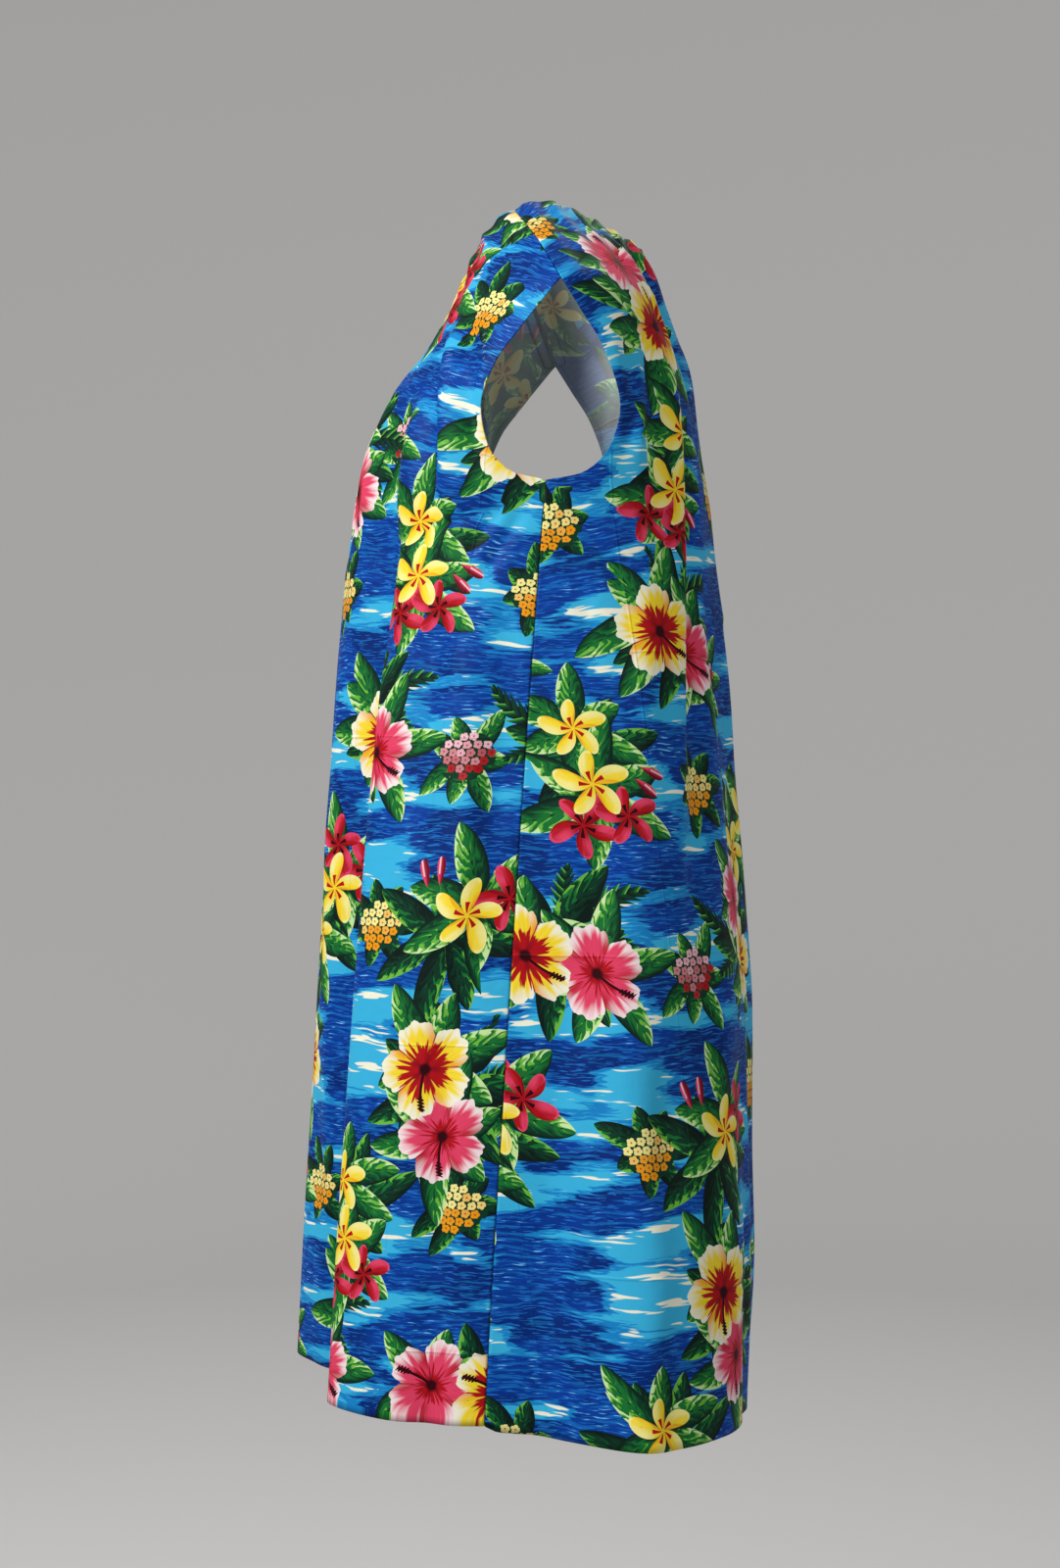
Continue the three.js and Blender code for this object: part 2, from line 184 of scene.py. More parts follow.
# Smaller creases, in millimetres. on: the face of the panel, placed by X, or its left or right
# side, placed by Y. start, top to end, foot: place and height where it starts and ends. bow: how
# far it curves between them. width: half the breadth. height: how far it stands out. One whose
# foot is below HEM_REACHED keeps its depth down to the hem.
CREASE_NAMES = ("on", "start", "top", "end", "foot", "bow", "width", "height")
FRONT_CREASES = [
    ("left", -45, -92, -41, -226, 2, 4.5, -4.4),
    ("left", -36, -98, -32, -196, 2, 4, 1.6),
    ("left", -67, -290, -80, -540, 6, 12, -3.4),
    ("left", -44, -320, -64, -700, -5, 16, 2.4),
    ("left", -8, -270, -34, -640, 6, 13, -2.2),
    ("left", -96, -230, -104, -430, 4, 9, -2.6),
    ("left", -58, -560, -78, -940, 0, 15, -3.6),
    ("left", 4, -246, -38, -322, 4, 6, -1.9),
    ("left", -20, -250, -52, -300, 3, 5, -1.4),
    ("right", -44, -94, -41, -218, -2, 4.5, -3.8),
    ("right", -36, -98, -32, -190, -2, 4, 1.4),
    ("right", -60, -300, -72, -580, -6, 13, -3.0),
    ("right", -38, -360, -52, -760, 6, 15, 2.6),
    ("right", -2, -280, -30, -600, -5, 12, -2.4),
    ("right", -92, -250, -100, -470, -4, 10, -2.2),
    ("right", -52, -600, -66, -940, 0, 15, -3.2),
    ("right", 2, -250, -42, -340, -4, 6, -2.0),
    ("face", 18, -96, 30, -300, 3, 7, -2.4),
    ("face", -22, -92, -36, -280, -3, 7, -2.0),
    ("face", -58, -98, -74, -360, -4, 8, -2.4),
    ("face", 60, -104, 70, -270, 4, 7, 2.0),
    ("face", -12, -210, -20, -560, 5, 16, -2.8),
    ("face", 34, -320, 38, -700, -5, 15, 2.6),
    ("face", -44, -380, -48, -800, 6, 16, 2.4),
    ("face", -30, -560, -34, -940, 0, 17, -3.4),
    ("face", 28, -620, 40, -940, 0, 16, -3.0),
    ("face", 118, -220, 130, -520, 5, 8, -2.2),
    ("face", -116, -240, -128, -480, -5, 8, -2.4),
    ("face", -70, -200, 20, -262, 8, 8, -1.3),
    ("face", 66, -214, -10, -290, -8, 9, -1.3),
]
BACK_CREASES = [
    ("left", 78, -88, 73, -222, -3, 6, -3.8),
    ("left", 98, -96, 94, -232, 2, 6, -4.0),
    ("left", 88, -104, 85, -270, 3, 6, 2.6),
    ("left", 118, -260, 128, -640, -5, 9, -2.8),
    ("left", 90, -230, 95, -560, 5, 14, 2.4),
    ("left", 62, -400, 48, -800, 6, 16, -3.0),
    ("left", 30, -500, 6, -940, 0, 15, -2.6),
    ("left", 104, -600, 112, -940, 0, 15, -3.8),
    ("left", 142, -500, 152, -940, 0, 13, 3.0),
    ("left", 20, -240, 72, -330, -5, 6, -2.2),
    ("left", 14, -262, 52, -390, -5, 7, -1.8),
    ("right", 77, -90, 73, -204, 3, 6, -3.4),
    ("right", 98, -98, 93, -226, -3, 6, -3.8),
    ("right", 112, -280, 122, -600, 5, 10, -2.6),
    ("right", 84, -250, 92, -620, -5, 15, 2.6),
    ("right", 54, -380, 44, -760, -6, 16, -2.8),
    ("right", 24, -540, 4, -940, 0, 14, -2.8),
    ("right", 98, -640, 108, -940, 0, 16, -3.4),
    ("right", 18, -244, 66, -346, 5, 6, -2.0),
    ("face", 34, -16, 42, -180, 3, 4.5, 2.4),
    ("face", 52, -14, 60, -190, -3, 4.5, -3.0),
    ("face", 70, -12, 86, -160, 3, 4.5, -2.8),
    ("face", 82, -12, 99, -150, -3, 4.5, 2.2),
    ("face", -30, -16, -37, -200, -3, 4.5, 2.2),
    ("face", -47, -14, -56, -170, 3, 4.5, -2.8),
    ("face", -64, -12, -80, -180, -3, 5, -2.6),
    ("face", -80, -12, -96, -150, 3, 4.5, 2.0),
    ("face", 12, -24, 6, -260, 4, 8, -2.2),
    ("face", -10, -120, -16, -520, 6, 16, -3.0),
    ("face", 40, -200, 46, -640, -6, 15, 2.8),
    ("face", -62, -240, -70, -700, 5, 14, 2.6),
    ("face", 90, -260, 100, -620, 5, 13, -2.6),
    ("face", -100, -300, -112, -760, -5, 14, -2.8),
    ("face", 20, -620, 24, -940, 0, 18, -3.6),
    ("face", -36, -560, -44, -940, 0, 17, -3.4),
    ("face", 118, -640, 132, -940, 0, 15, -3.2),
    ("face", -88, -680, -100, -940, 0, 16, 3.0),
    ("face", -84, -150, -20, -215, 6, 8, -1.5),
    ("face", 88, -160, 30, -232, -6, 8, -1.5),
]
HEM_REACHED = -900

# A crease is full from this share of its run. One that ends above the hem fades from the next.
CREASE_FULL = 0.3
CREASE_FADE = 0.55

# All creases are deepened by this factor. They wander from their line, and vary in depth along it.
DEEPEN = 1.45
WANDER = 3.0
WANDER_LENGTH = 34.0
UNEVEN = 0.3
UNEVEN_LENGTH = 27.0

# Small gathers at the neck edge: how many over a panel, how far they stand out, and as shares of
# the panel's length and half width, how far they run down and where they fade beside its edges.
FRONT_GATHERS = 13
BACK_GATHERS = 15
GATHER_HEIGHT = 1.1 * MM
GATHER_RUN = 0.1
GATHER_EDGE = 0.1

# Puckers: at the neck edge near the shoulder seams, and beside the side seams, where they rise from
# nothing at the seam and fall away again.
NECK_PUCKER = 0.4 * MM
NECK_PUCKER_STEP = 13 * MM
NECK_PUCKER_RUN = 26 * MM
SHOULDER_FROM = 0.45
SHOULDER_FULL = 0.7
SEAM_PUCKER = 0.45 * MM
SEAM_PUCKER_STEP = 15 * MM
SEAM_PUCKER_RUN = 13 * MM
PUCKER_RISE = 2.7
PUCKER_FALL = 3

# Plain weave and crumple of the cloth, and the faint press creases where it lay folded.
WEAVE_STEP = 0.6 * MM
WEAVE_HEIGHT = 0.012 * MM
CRUMPLE_STEP = 26 * MM
CRUMPLE_HEIGHT = 1.1 * MM
PRESS_WIDE = 148 * MM
PRESS_TALL = 236 * MM
PRESS_HALF = 1.6 * MM
PRESS_HEIGHT = 0.35 * MM

# Between these heights the print turns from the lie of the flat cut to lie level, as it hangs.
LEVEL_FROM = -0.24
LEVEL_FULL = -0.5

# The studio round the dress: a floor, a quarter round and a wall.
STUDIO_SIDES = 96
FLOOR_RADIUS = 3.2
FLOOR_HEIGHT = -1.55
COVE_RADIUS = 1.7
COVE_STEPS = 10
WALL_TOP = 3.0

# The camera looks at the wearer's left side, and a pixel is 0.81 mm at the dress's middle plane.
CAMERA_AWAY = 1.9
CAMERA_HEIGHT = -0.46
SENSOR = 36
PIXEL = 0.81 * MM
PICTURE_TALL = 1600

# Soft round lamps that point at the middle of the dress: name, place, width, and power in watts.
LAMPS = [
    ("key", (1.8, -2.1, 1.4), 0.9, 96),
    ("fill", (2.3, 1.7, 0.2), 1.6, 13),
    ("rim", (-1.8, 0.6, 1.4), 1.2, 8),
]
LAMPS_AIM = (0, 0, -0.45)
SKY = (0.9, 0.92, 0.95)
SKY_STRENGTH = 0.31

# Finishes: what each shader is set to. The print shows paler on the reverse of the cloth.
CLOTH_FINISH = {
    "Roughness": 0.55, "Specular IOR Level": 0.1, "Sheen Weight": 0.02, "Sheen Roughness": 0.4,
}
REVERSE_FADING = 0.45
REVERSE_TINT = (0.8, 0.84, 0.86)
THREAD_FINISH = {"Roughness": 0.45}
THREAD_MOTTLE = 900
FLOOR_FINISH = {"Base Color": (0.85, 0.83, 0.8, 1), "Roughness": 0.9, "Specular IOR Level": 0.1}

# Where each panel is cut from the printed length of cloth, in metres.
CUT_FROM = {"front_panel": (0, 0), "back_panel": (0.437, 0.213)}


def smooth(value, low, high):
    """0 at low and below, 1 at high and above, and an even S between them."""
    t = np.clip((value - low) / (high - low), 0, 1)
    return t * t * (3 - 2 * t)


def monotone(values):
    """Smooth curve through a table's column, without overshoot."""
    values = np.array(values, float)
    rise = np.diff(values)
    turns = rise[:-1] * rise[1:] <= 0
    total = np.where(turns, 1, rise[:-1] + rise[1:])
    slope = np.empty_like(values)
    slope[0] = rise[0]
    slope[-1] = rise[-1]
    slope[1:-1] = np.where(turns, 0, 2 * rise[:-1] * rise[1:] / total)

    def curve(station):
        i = np.clip(np.floor(station).astype(int), 0, len(values) - 2)
        t = station - i
        return (
            (2 * t**3 - 3 * t**2 + 1) * values[i]
            + (t**3 - 2 * t**2 + t) * slope[i]
            + (3 * t**2 - 2 * t**3) * values[i + 1]
            + (t**3 - t**2) * slope[i + 1]
        )

    return curve


def through(points, station):
    """Points of a curve through a list of points, at each station."""
    columns = zip(*points)
    return np.stack([monotone(column)(station) for column in columns], axis=-1)


def edge_line(armhole, station):
    """The panel's edge on the wearer's left: shoulder seam, armhole, then side seam."""
    hole = [SHOULDER_SEAM[-1], *armhole, SIDE_SEAM[0]]
    shoulder = through(SHOULDER_SEAM, np.clip(station, 0, TIP))
    opening = through(hole, np.clip(station - TIP, 0, UNDERARM - TIP))
    side = through(SIDE_SEAM, np.clip(station - UNDERARM, 0, None))
    at = station[:, None]
    return MM * np.where(at < TIP, shoulder, np.where(at < UNDERARM, opening, side))


def all_stations():
    """Stations of the mesh's rows, about evenly spaced down the side seam."""
    drop = np.diff([point[2] for point in SIDE_SEAM])
    steps = [BODICE_STEPS] * UNDERARM + [round(abs(d) * MM / ROW_STEP) for d in drop]
    rows = [i + k / count for i, count in enumerate(steps) for k in range(count)]
    return np.array(rows + [len(steps)])


STATIONS = all_stations()
SHOULDER_ROWS = np.flatnonzero(STATIONS <= TIP)
HOLE_ROWS = np.flatnonzero((STATIONS >= TIP) & (STATIONS <= UNDERARM))
SIDE_ROWS = np.flatnonzero(STATIONS >= UNDERARM)


def lengths(points, axis=0):
    """Distance travelled along lines of points, from 0."""
    steps = np.linalg.norm(np.diff(points, axis=axis), axis=-1)
    return np.insert(np.cumsum(steps, axis=axis), 0, 0, axis=axis)


def unit(vectors):
    """The same directions, each one long."""
    return vectors / np.linalg.norm(vectors, axis=-1, keepdims=True)


def grid_normals(grid, outward):
    """The outward direction at each point of a panel. outward: -1 for the front, 1 for the back."""
    along = np.gradient(grid, axis=1)
    below = np.gradient(grid, axis=0)
    return unit(outward * np.cross(along, below))


def smooth_panel(rows, armhole):
    """The panel without folds: a grid of points from the wearer's right to the left."""
    shape = {name: monotone(column)(STATIONS)[:, None] for name, column in zip(ROW_NAMES, zip(*rows))}
    edge = edge_line(armhole, STATIONS)[:, None, :]
    wrap = np.radians(shape["wrap"])
    u = np.linspace(0, 1, SAMPLES + 1)[None, :]
    sideways = np.sin(u * wrap) / np.sin(wrap)
    ahead = np.clip((np.cos(u * wrap) - np.cos(wrap)) / (1 - np.cos(wrap)), 0, 1)
    swell = np.sin(np.pi * u**BESIDE_SEAM)
    x = edge[..., 0] * sideways ** shape["across"] + MM * shape["bulge"] * swell
    y = edge[..., 1] + (MM * shape["y"] - edge[..., 1]) * ahead ** shape["reach"]
    z = edge[..., 2] + (MM * shape["z"] - edge[..., 2]) * ahead ** shape["drop"]
    curve = np.stack([x, y, z + MM * shape["lift"] * swell], axis=-1)
    left = np.empty((len(STATIONS), len(SHARES), 3))
    for i, line in enumerate(curve):
        travelled = lengths(line)
        wanted = SHARES * travelled[-1]
        left[i] = np.stack([np.interp(wanted, travelled, line[:, k]) for k in range(3)], axis=-1)
    right = left[:, :0:-1] * (-1, 1, 1)
    return np.concatenate([right, left], axis=1)


def fold_moves(folds, grid):
    """How far the folds move each point out of the panel, and towards its centre line."""
    out = np.zeros(grid.shape[:2])
    inward = np.zeros(grid.shape[:2])
    for values in folds:
        fold = dict(zip(FOLD_NAMES, values))
        place = np.abs(grid[..., 0]) if fold["axis"] == "x" else grid[..., 1]
        along = np.clip((MM * fold["top"] - grid[..., 2]) / (MM * (fold["top"] - fold["foot"])), 0, 1)
        middle = MM * (fold["start"] + (fold["end"] - fold["start"]) * along)
        off = (place - middle) / (MM * fold["width"])
        fading = smooth(along, 0, FOLD_FULL) * (1 - smooth(along, FOLD_FADE, 1))
        strength = (along**GROW_POWER if fold["grow"] else fading) * np.exp(-off * off)
        if fold["axis"] == "y":
            strength = strength * smooth(np.abs(grid[..., 0]), SIDES_FROM, SIDES_FULL)
        if fold["side"]:
            strength = strength * (np.sign(ACROSS) * fold["side"] >= 0)
        out += MM * fold["height"] * strength
        inward += MM * fold["lean"] * strength
    fade = smooth(1 - np.abs(ACROSS), 0, FOLD_EDGE)
    return out * fade, inward * fade


def crease_moves(creases, grid):
    """How far the small creases move each point out of the panel."""
    out = np.zeros(grid.shape[:2])
    x, y, z = np.moveaxis(grid / MM, -1, 0)
    beside = smooth(np.abs(grid[..., 0]), SIDES_FROM, SIDES_FULL)
    weights = {"face": 1, "left": beside * (x > 0), "right": beside * (x < 0)}
    for values in creases:
        crease = dict(zip(CREASE_NAMES, values))
        place = x if crease["on"] == "face" else y
        place = place + WANDER * np.sin(z / WANDER_LENGTH + crease["start"])
        run = np.array([crease["end"] - crease["start"], crease["foot"] - crease["top"]], float)
        long = np.linalg.norm(run)
        run = run / long
        from_start = np.stack([place - crease["start"], z - crease["top"]], axis=-1)
        along = np.clip(from_start @ run / long, 0, 1)
        off = from_start[..., 0] * run[1] - from_start[..., 1] * run[0]
        off = (off - crease["bow"] * 4 * along * (1 - along)) / crease["width"]
        strength = smooth(along, 0, CREASE_FULL) * np.exp(-off * off)
        if crease["foot"] > HEM_REACHED:
            strength = strength * (1 - smooth(along, CREASE_FADE, 1))
        uneven = 1 + UNEVEN * np.sin(along * long / UNEVEN_LENGTH + crease["top"])
        height = MM * DEEPEN * crease["height"]
        out += height * strength * uneven * weights[crease["on"]]
    return out * smooth(1 - np.abs(ACROSS), 0, CREASE_EDGE)


def edge_distance(grid):
    """How far each point lies from the nearer side edge of its row."""
    travelled = lengths(grid, axis=1)
    return np.minimum(travelled, travelled[:, -1:] - travelled)


def pucker_moves(grid):
    """How far the puckers at the neck edge and beside the side seams move each point out."""
    along_row = lengths(grid, axis=1)
    down = lengths(grid, axis=0)
    near_shoulder = smooth(np.abs(ACROSS), SHOULDER_FROM, SHOULDER_FULL)
    near_shoulder = near_shoulder * smooth(1 - np.abs(ACROSS), 0, CREASE_EDGE)
    neck = np.sin(2 * math.pi * along_row / NECK_PUCKER_STEP + np.sin(3 * along_row / NECK_PUCKER_STEP))
    neck = NECK_PUCKER * neck * near_shoulder * np.exp(-down / NECK_PUCKER_RUN)
    from_seam = edge_distance(grid) / SEAM_PUCKER_RUN
    beside = PUCKER_RISE * from_seam * np.exp(-(from_seam**2) * PUCKER_FALL)
    height = grid[..., 2] / SEAM_PUCKER_STEP
    side = SEAM_PUCKER * beside * np.sin(2 * math.pi * height + 1.7 * np.sin(height))
    return neck + side * (STATIONS >= UNDERARM)[:, None]


def folded_panel(rows, armhole, folds, creases, gathers, outward):
    """A panel's outer face, with its folds, neck gathers, creases and puckers."""
    grid = smooth_panel(rows, armhole)
    normals = grid_normals(grid, outward)
    down = lengths(grid[:, MIDDLE])
    share = (down / down[-1])[:, None]
    out, inward = fold_moves(folds, grid)
    fade = (1 - smooth(share, 0, GATHER_RUN)) * smooth(1 - np.abs(ACROSS), 0, GATHER_EDGE)
    out = out + GATHER_HEIGHT * fade * np.cos(np.pi * gathers * ACROSS)
    out = out + crease_moves(creases, grid) + pucker_moves(grid)
    step = np.diff(grid, axis=1)
    towards = np.concatenate([step[:, :MIDDLE], step[:, MIDDLE:MIDDLE + 1], -step[:, MIDDLE:]], axis=1)
    return grid + normals * out[..., None] + unit(towards) * (OVERHANG * inward[..., None])


def thickness(grid):
    """Cloth, and the turned hem, neck and armhole edges, which are thicker."""
    down = lengths(grid, axis=0)
    turned = np.maximum(down[-1:] - down < HEM_TURNING, down < EDGE_TURNING)
    hole = np.isin(np.arange(len(STATIONS)), HOLE_ROWS)[:, None]
    turned = np.maximum(turned, hole & (edge_distance(grid) < EDGE_TURNING))
    return np.where(turned, TURNING, CLOTH)


def join_at_seams(front, back):
    """Both panels take the mean normal at their shared edges, draw back by half the gap and dip."""
    normals = [grid_normals(front, -1), grid_normals(back, 1)]
    shared = (STATIONS <= TIP) | (STATIONS >= UNDERARM)
    for j, inner in ((0, 1), (-1, -2)):
        mean = unit(normals[0][:, j] + normals[1][:, j])
        along = unit(np.gradient(front[:, j], axis=0))
        mean = unit(mean - along * np.sum(mean * along, axis=1, keepdims=True))
        apart = np.cross(along, mean)
        way = np.sign(np.sum(apart * (front[:, inner] - front[:, j]), axis=1, keepdims=True))
        move = apart * way * SEAM_GAP / 2
        for side in (0, 1):
            normals[side][shared, j] = mean[shared]
        dip = mean * SEAM_DIP
        front[shared, j] += (move - dip)[shared]
        back[shared, j] -= (move + dip)[shared]
    return normals


def deselect():
    """Leaves edit mode, and leaves nothing selected."""
    if bpy.context.object and bpy.context.object.mode != "OBJECT":
        bpy.ops.object.mode_set(mode="OBJECT")
    bpy.ops.object.select_all(action="DESELECT")


def mesh_object(name, points, faces):
    """A new object from points and faces, selected and active."""
    mesh = bpy.data.meshes.new(name)
    mesh.from_pydata([tuple(p) for p in points], [], [tuple(f) for f in faces])
    mesh.update()
    piece = bpy.data.objects.new(name, mesh)
    bpy.context.scene.collection.objects.link(piece)
    deselect()
    piece.select_set(True)
    bpy.context.view_layer.objects.active = piece
    return piece


def grid_faces(rows, columns, outward):
    """Four sided faces over a grid of points, which face outwards."""
    index = np.arange(rows * columns).reshape(rows, columns)
    quads = np.stack([index[:-1, :-1], index[:-1, 1:], index[1:, 1:], index[1:, :-1]], axis=-1)
    quads = quads.reshape(-1, 4)
    return quads if outward > 0 else quads[:, ::-1]


def flat_pattern(grid, outward):
    """The panel's flat cut: each point's place on the cloth, from the top of the centre line."""
    rows = sorted({*range(0, len(grid), PATTERN_STEP), len(grid) - 1})
    inner = range(-PATTERN_STEP * ((HALF - 1) // PATTERN_STEP), HALF, PATTERN_STEP)
    columns = [0, *(MIDDLE + j for j in inner), 2 * MIDDLE]
    coarse = grid[np.ix_(rows, columns)]
    faces = grid_faces(len(rows), len(columns), outward)
    piece = mesh_object("flat_pattern", coarse.reshape(-1, 3), faces)
    bpy.ops.object.mode_set(mode="EDIT")
    bpy.ops.mesh.select_all(action="SELECT")
    bpy.ops.uv.unwrap(method="ANGLE_BASED", margin=0)
    bpy.ops.object.mode_set(mode="OBJECT")
    mesh = piece.data
    flat = np.zeros((len(mesh.vertices), 2))
    for loop, corner in zip(mesh.loops, mesh.uv_layers.active.data):
        flat[loop.vertex_index] = corner.uv
    bpy.data.objects.remove(piece)
    flat = flat.reshape(len(rows), len(columns), 2)
    centre = columns.index(MIDDLE)
    upward = flat[0, centre] - flat[-1, centre]
    length = np.linalg.norm(upward)
    real = lengths(coarse[:, centre])[-1]
    turn = np.array([[upward[1], upward[0]], [-upward[0], upward[1]]]) / length
    flat = (flat - flat[0, centre]) @ turn * (real / length)
    every_row = np.arange(len(grid))
    full = np.empty((*grid.shape[:2], 2))
    for k in (0, 1):
        wide = np.array([np.interp(ACROSS[0], ACROSS[0, columns], line[:, k]) for line in flat])
        for j in range(grid.shape[1]):
            full[:, j, k] = np.interp(every_row, rows, wide[:, j])
    return full


def printed_place(flat, grid):
    """The flat cut, with its print level on the skirt: at each height as on the centre line."""
    middle = -grid[:, MIDDLE, 2]
    level = np.interp(-grid[..., 2], middle, flat[:, MIDDLE, 1])
    share = smooth(grid[..., 2], LEVEL_FROM, LEVEL_FULL)
    return np.stack([flat[..., 0], flat[..., 1] * (1 - share) + level * share], axis=-1)


def shell(name, outer, inner, pattern, outward, finishes):
    """A closed thin wall. The first finish is on its outer face, the last on its inner one."""
    rows, columns = outer.shape[:2]
    count = rows * columns
    out = grid_faces(rows, columns, outward)
    back = grid_faces(rows, columns, -outward) + count
    index = np.arange(count).reshape(rows, columns)
    ring = np.concatenate([index[0, :], index[1:, -1], index[-1, -2::-1], index[-2:0:-1, 0]])
    following = np.roll(ring, -1)
    rim = np.stack([ring, ring + count, following + count, following], axis=-1)
    rim = rim if outward > 0 else rim[:, ::-1]
    faces = np.concatenate([out, back, rim])
    piece = mesh_object(name, np.concatenate([outer.reshape(-1, 3), inner.reshape(-1, 3)]), faces)
    mesh = piece.data
    layer = mesh.uv_layers.new(name="cloth")
    flat = np.concatenate([pattern.reshape(-1, 2)] * 2)
    corners = np.empty(len(mesh.loops), int)
    mesh.loops.foreach_get("vertex_index", corners)
    layer.data.foreach_set("uv", flat[corners].astype(np.float32).ravel())
    for finish in finishes:
        mesh.materials.append(finish)
    side = np.zeros(len(faces), int)
    side[len(out):len(out) + len(back)] = len(finishes) - 1
    mesh.polygons.foreach_set("material_index", side)
    mesh.polygons.foreach_set("use_smooth", np.ones(len(faces), bool))
    mesh.update()
    return piece


def at_distance(values, travelled, distance):
    """In each row, the values where the row has travelled a distance."""
    return np.array([
        [np.interp(distance, way, line[:, k]) for k in range(line.shape[1])]
        for way, line in zip(travelled, values)
    ])


def seam_allowance(name, rows, column, front, back, finish):
    """The two panels' seam allowances, pressed open over the inside of a seam."""
    order = slice(None) if column == 0 else slice(None, None, -1)
    distances = np.linspace(0, ALLOWANCE, ALLOWANCE_STEPS)
    strips = []
    for panel in (front, back):
        inner = panel["inner"][rows][:, order]
        inward = -panel["normals"][rows][:, order]
        travelled = lengths(inner, axis=1)
        values = np.concatenate([inner + inward * CLOTH, inward, panel["pattern"][rows][:, order]], axis=2)
        strips.append(np.stack([at_distance(values, travelled, d) for d in distances], axis=1))
    seam = (strips[0][:, :1] + strips[1][:, :1]) / 2
    strip = np.concatenate([strips[0][:, :0:-1], seam, strips[1][:, 1:]], axis=1)
    outer = strip[..., :3]
    inner = outer + unit(strip[..., 3:6]) * CLOTH
    outward = 1 if column == 0 else -1
    return shell(name, inner, outer, strip[..., 6:8], outward, [finish])


def one_stitch(length):
    """A short round ended stitch that lies along X."""
    deselect()
    along_x = (0, math.pi / 2, 0)
    bpy.ops.mesh.primitive_uv_sphere_add(
        segments=STITCH_SIDES, ring_count=STITCH_RINGS, radius=THREAD_RADIUS, rotation=along_x
    )
    stitch = bpy.context.object
    bpy.ops.object.transform_apply(location=True, rotation=True, scale=True)
    for way in (-1, 1):
        bpy.ops.object.mode_set(mode="EDIT")
        bpy.ops.mesh.select_mode(type="VERT")
        bpy.ops.mesh.select_all(action="DESELECT")
        bpy.ops.object.mode_set(mode="OBJECT")
        for vertex in stitch.data.vertices:
            vertex.select = vertex.co.x * way > THREAD_RADIUS / 4
        bpy.ops.object.mode_set(mode="EDIT")
        bpy.ops.transform.translate(value=(way * length / 2, 0, 0))
        bpy.ops.object.mode_set(mode="OBJECT")
    bpy.ops.object.shade_smooth()
    return stitch


def sewn_line(line, normals, length, step):
    """Stitches along a line of points, half sunk in the cloth."""
    travelled = lengths(line)
    places = np.arange(step / 2, travelled[-1] - step / 2, step)
    points = np.stack([np.interp(places, travelled, line[:, k]) for k in range(3)], axis=-1)
    ups = unit(np.stack([np.interp(places, travelled, normals[:, k]) for k in range(3)], axis=-1))
    ahead = np.stack([np.interp(places + step / 4, travelled, line[:, k]) for k in range(3)], axis=-1)
    first = one_stitch(length)
    copies = []
    for point, up, next_point in zip(points, ups, ahead):
        along = unit(next_point - point)
        up = unit(up - along * np.dot(up, along))
        turn = Matrix((along, np.cross(up, along), up)).transposed().to_4x4()
        copy = first.copy()
        copy.data = first.data.copy()
        copy.data.transform(Matrix.Translation(point) @ turn)
        bpy.context.scene.collection.objects.link(copy)
        copies.append(copy)
    bpy.data.objects.remove(first)
    return copies


def panel_stitches(name, panel, thread):
    """All stitches of one panel: hem, neck and both armholes, joined."""
    inner = panel["inner"]
    inward = -panel["normals"]
    both = np.concatenate([inner, inward], axis=2)
    outer = np.concatenate([panel["grid"], panel["normals"]], axis=2)
    lines = []
    down = lengths(inner, axis=0).T
    columns = np.swapaxes(both, 0, 1)
    outer_columns = np.swapaxes(outer, 0, 1)
    lines.append((at_distance(columns, down, EDGE_TURNING - FROM_TURNING), STITCH_LENGTH, STITCH_STEP))
    up = lengths(inner[::-1], axis=0).T
    hem = HEM_TURNING - FROM_TURNING
    lines.append((at_distance(columns[:, ::-1], up, hem), STITCH_LENGTH, STITCH_STEP))
    lines.append((at_distance(outer_columns[:, ::-1], up, hem), PICK_LENGTH, PICK_STEP))
    for order in (slice(None), slice(None, None, -1)):
        rows = both[HOLE_ROWS][:, order]
        travelled = lengths(rows[..., :3], axis=1)
        line = at_distance(rows, travelled, EDGE_TURNING - FROM_TURNING)
        lines.append((line, STITCH_LENGTH, STITCH_STEP))
    copies = []
    for line, length, step in lines:
        copies += sewn_line(line[:, :3], line[:, 3:], length, step)
    deselect()
    for copy in copies:
        copy.select_set(True)
    bpy.context.view_layer.objects.active = copies[0]
    bpy.ops.object.join()
    piece = bpy.context.object
    piece.name = name
    piece.data.materials.append(thread)
    return piece


class Ink:
    """A number on the cloth. Arithmetic on it adds nodes to the material."""

    def __init__(self, tree, socket):
        self.tree = tree
        self.socket = socket

    def math(self, operation, *others):
        node = self.tree.nodes.new("ShaderNodeMath")
        node.operation = operation
        for place, value in zip(node.inputs, (self, *others)):
            feed(self.tree, value, place)
        return Ink(self.tree, node.outputs[0])

    def __add__(self, other):
        return self.math("ADD", other)

    def __sub__(self, other):
        return self.math("SUBTRACT", other)

    def __mul__(self, other):
        return self.math("MULTIPLY", other)

    def __truediv__(self, other):
        return self.math("DIVIDE", other)

    def __pow__(self, other):
        return self.math("POWER", other)

    def below(self, other):
        return self.math("LESS_THAN", other)

    def above(self, other):
        return self.math("GREATER_THAN", other)

    def least(self, other):
        return self.math("MINIMUM", other)

    def most(self, other):
        return self.math("MAXIMUM", other)

    def size(self):
        return self.math("ABSOLUTE")

    def sine(self):
        return self.math("SINE")

    def cosine(self):
        return self.math("COSINE")

    def whole(self):
        return self.math("FLOOR")

    def part(self):
        return self.math("FRACT")

    def opposite(self):
        return self * -1 + 1

    def ramp(self, low, high):
        """0 at low and below, 1 at high and above, smooth between them."""
        node = self.tree.nodes.new("ShaderNodeMapRange")
        node.interpolation_type = "SMOOTHSTEP"
        feed(self.tree, self, node.inputs["Value"])
        feed(self.tree, low, node.inputs["From Min"])
        feed(self.tree, high, node.inputs["From Max"])
        return Ink(self.tree, node.outputs[0])


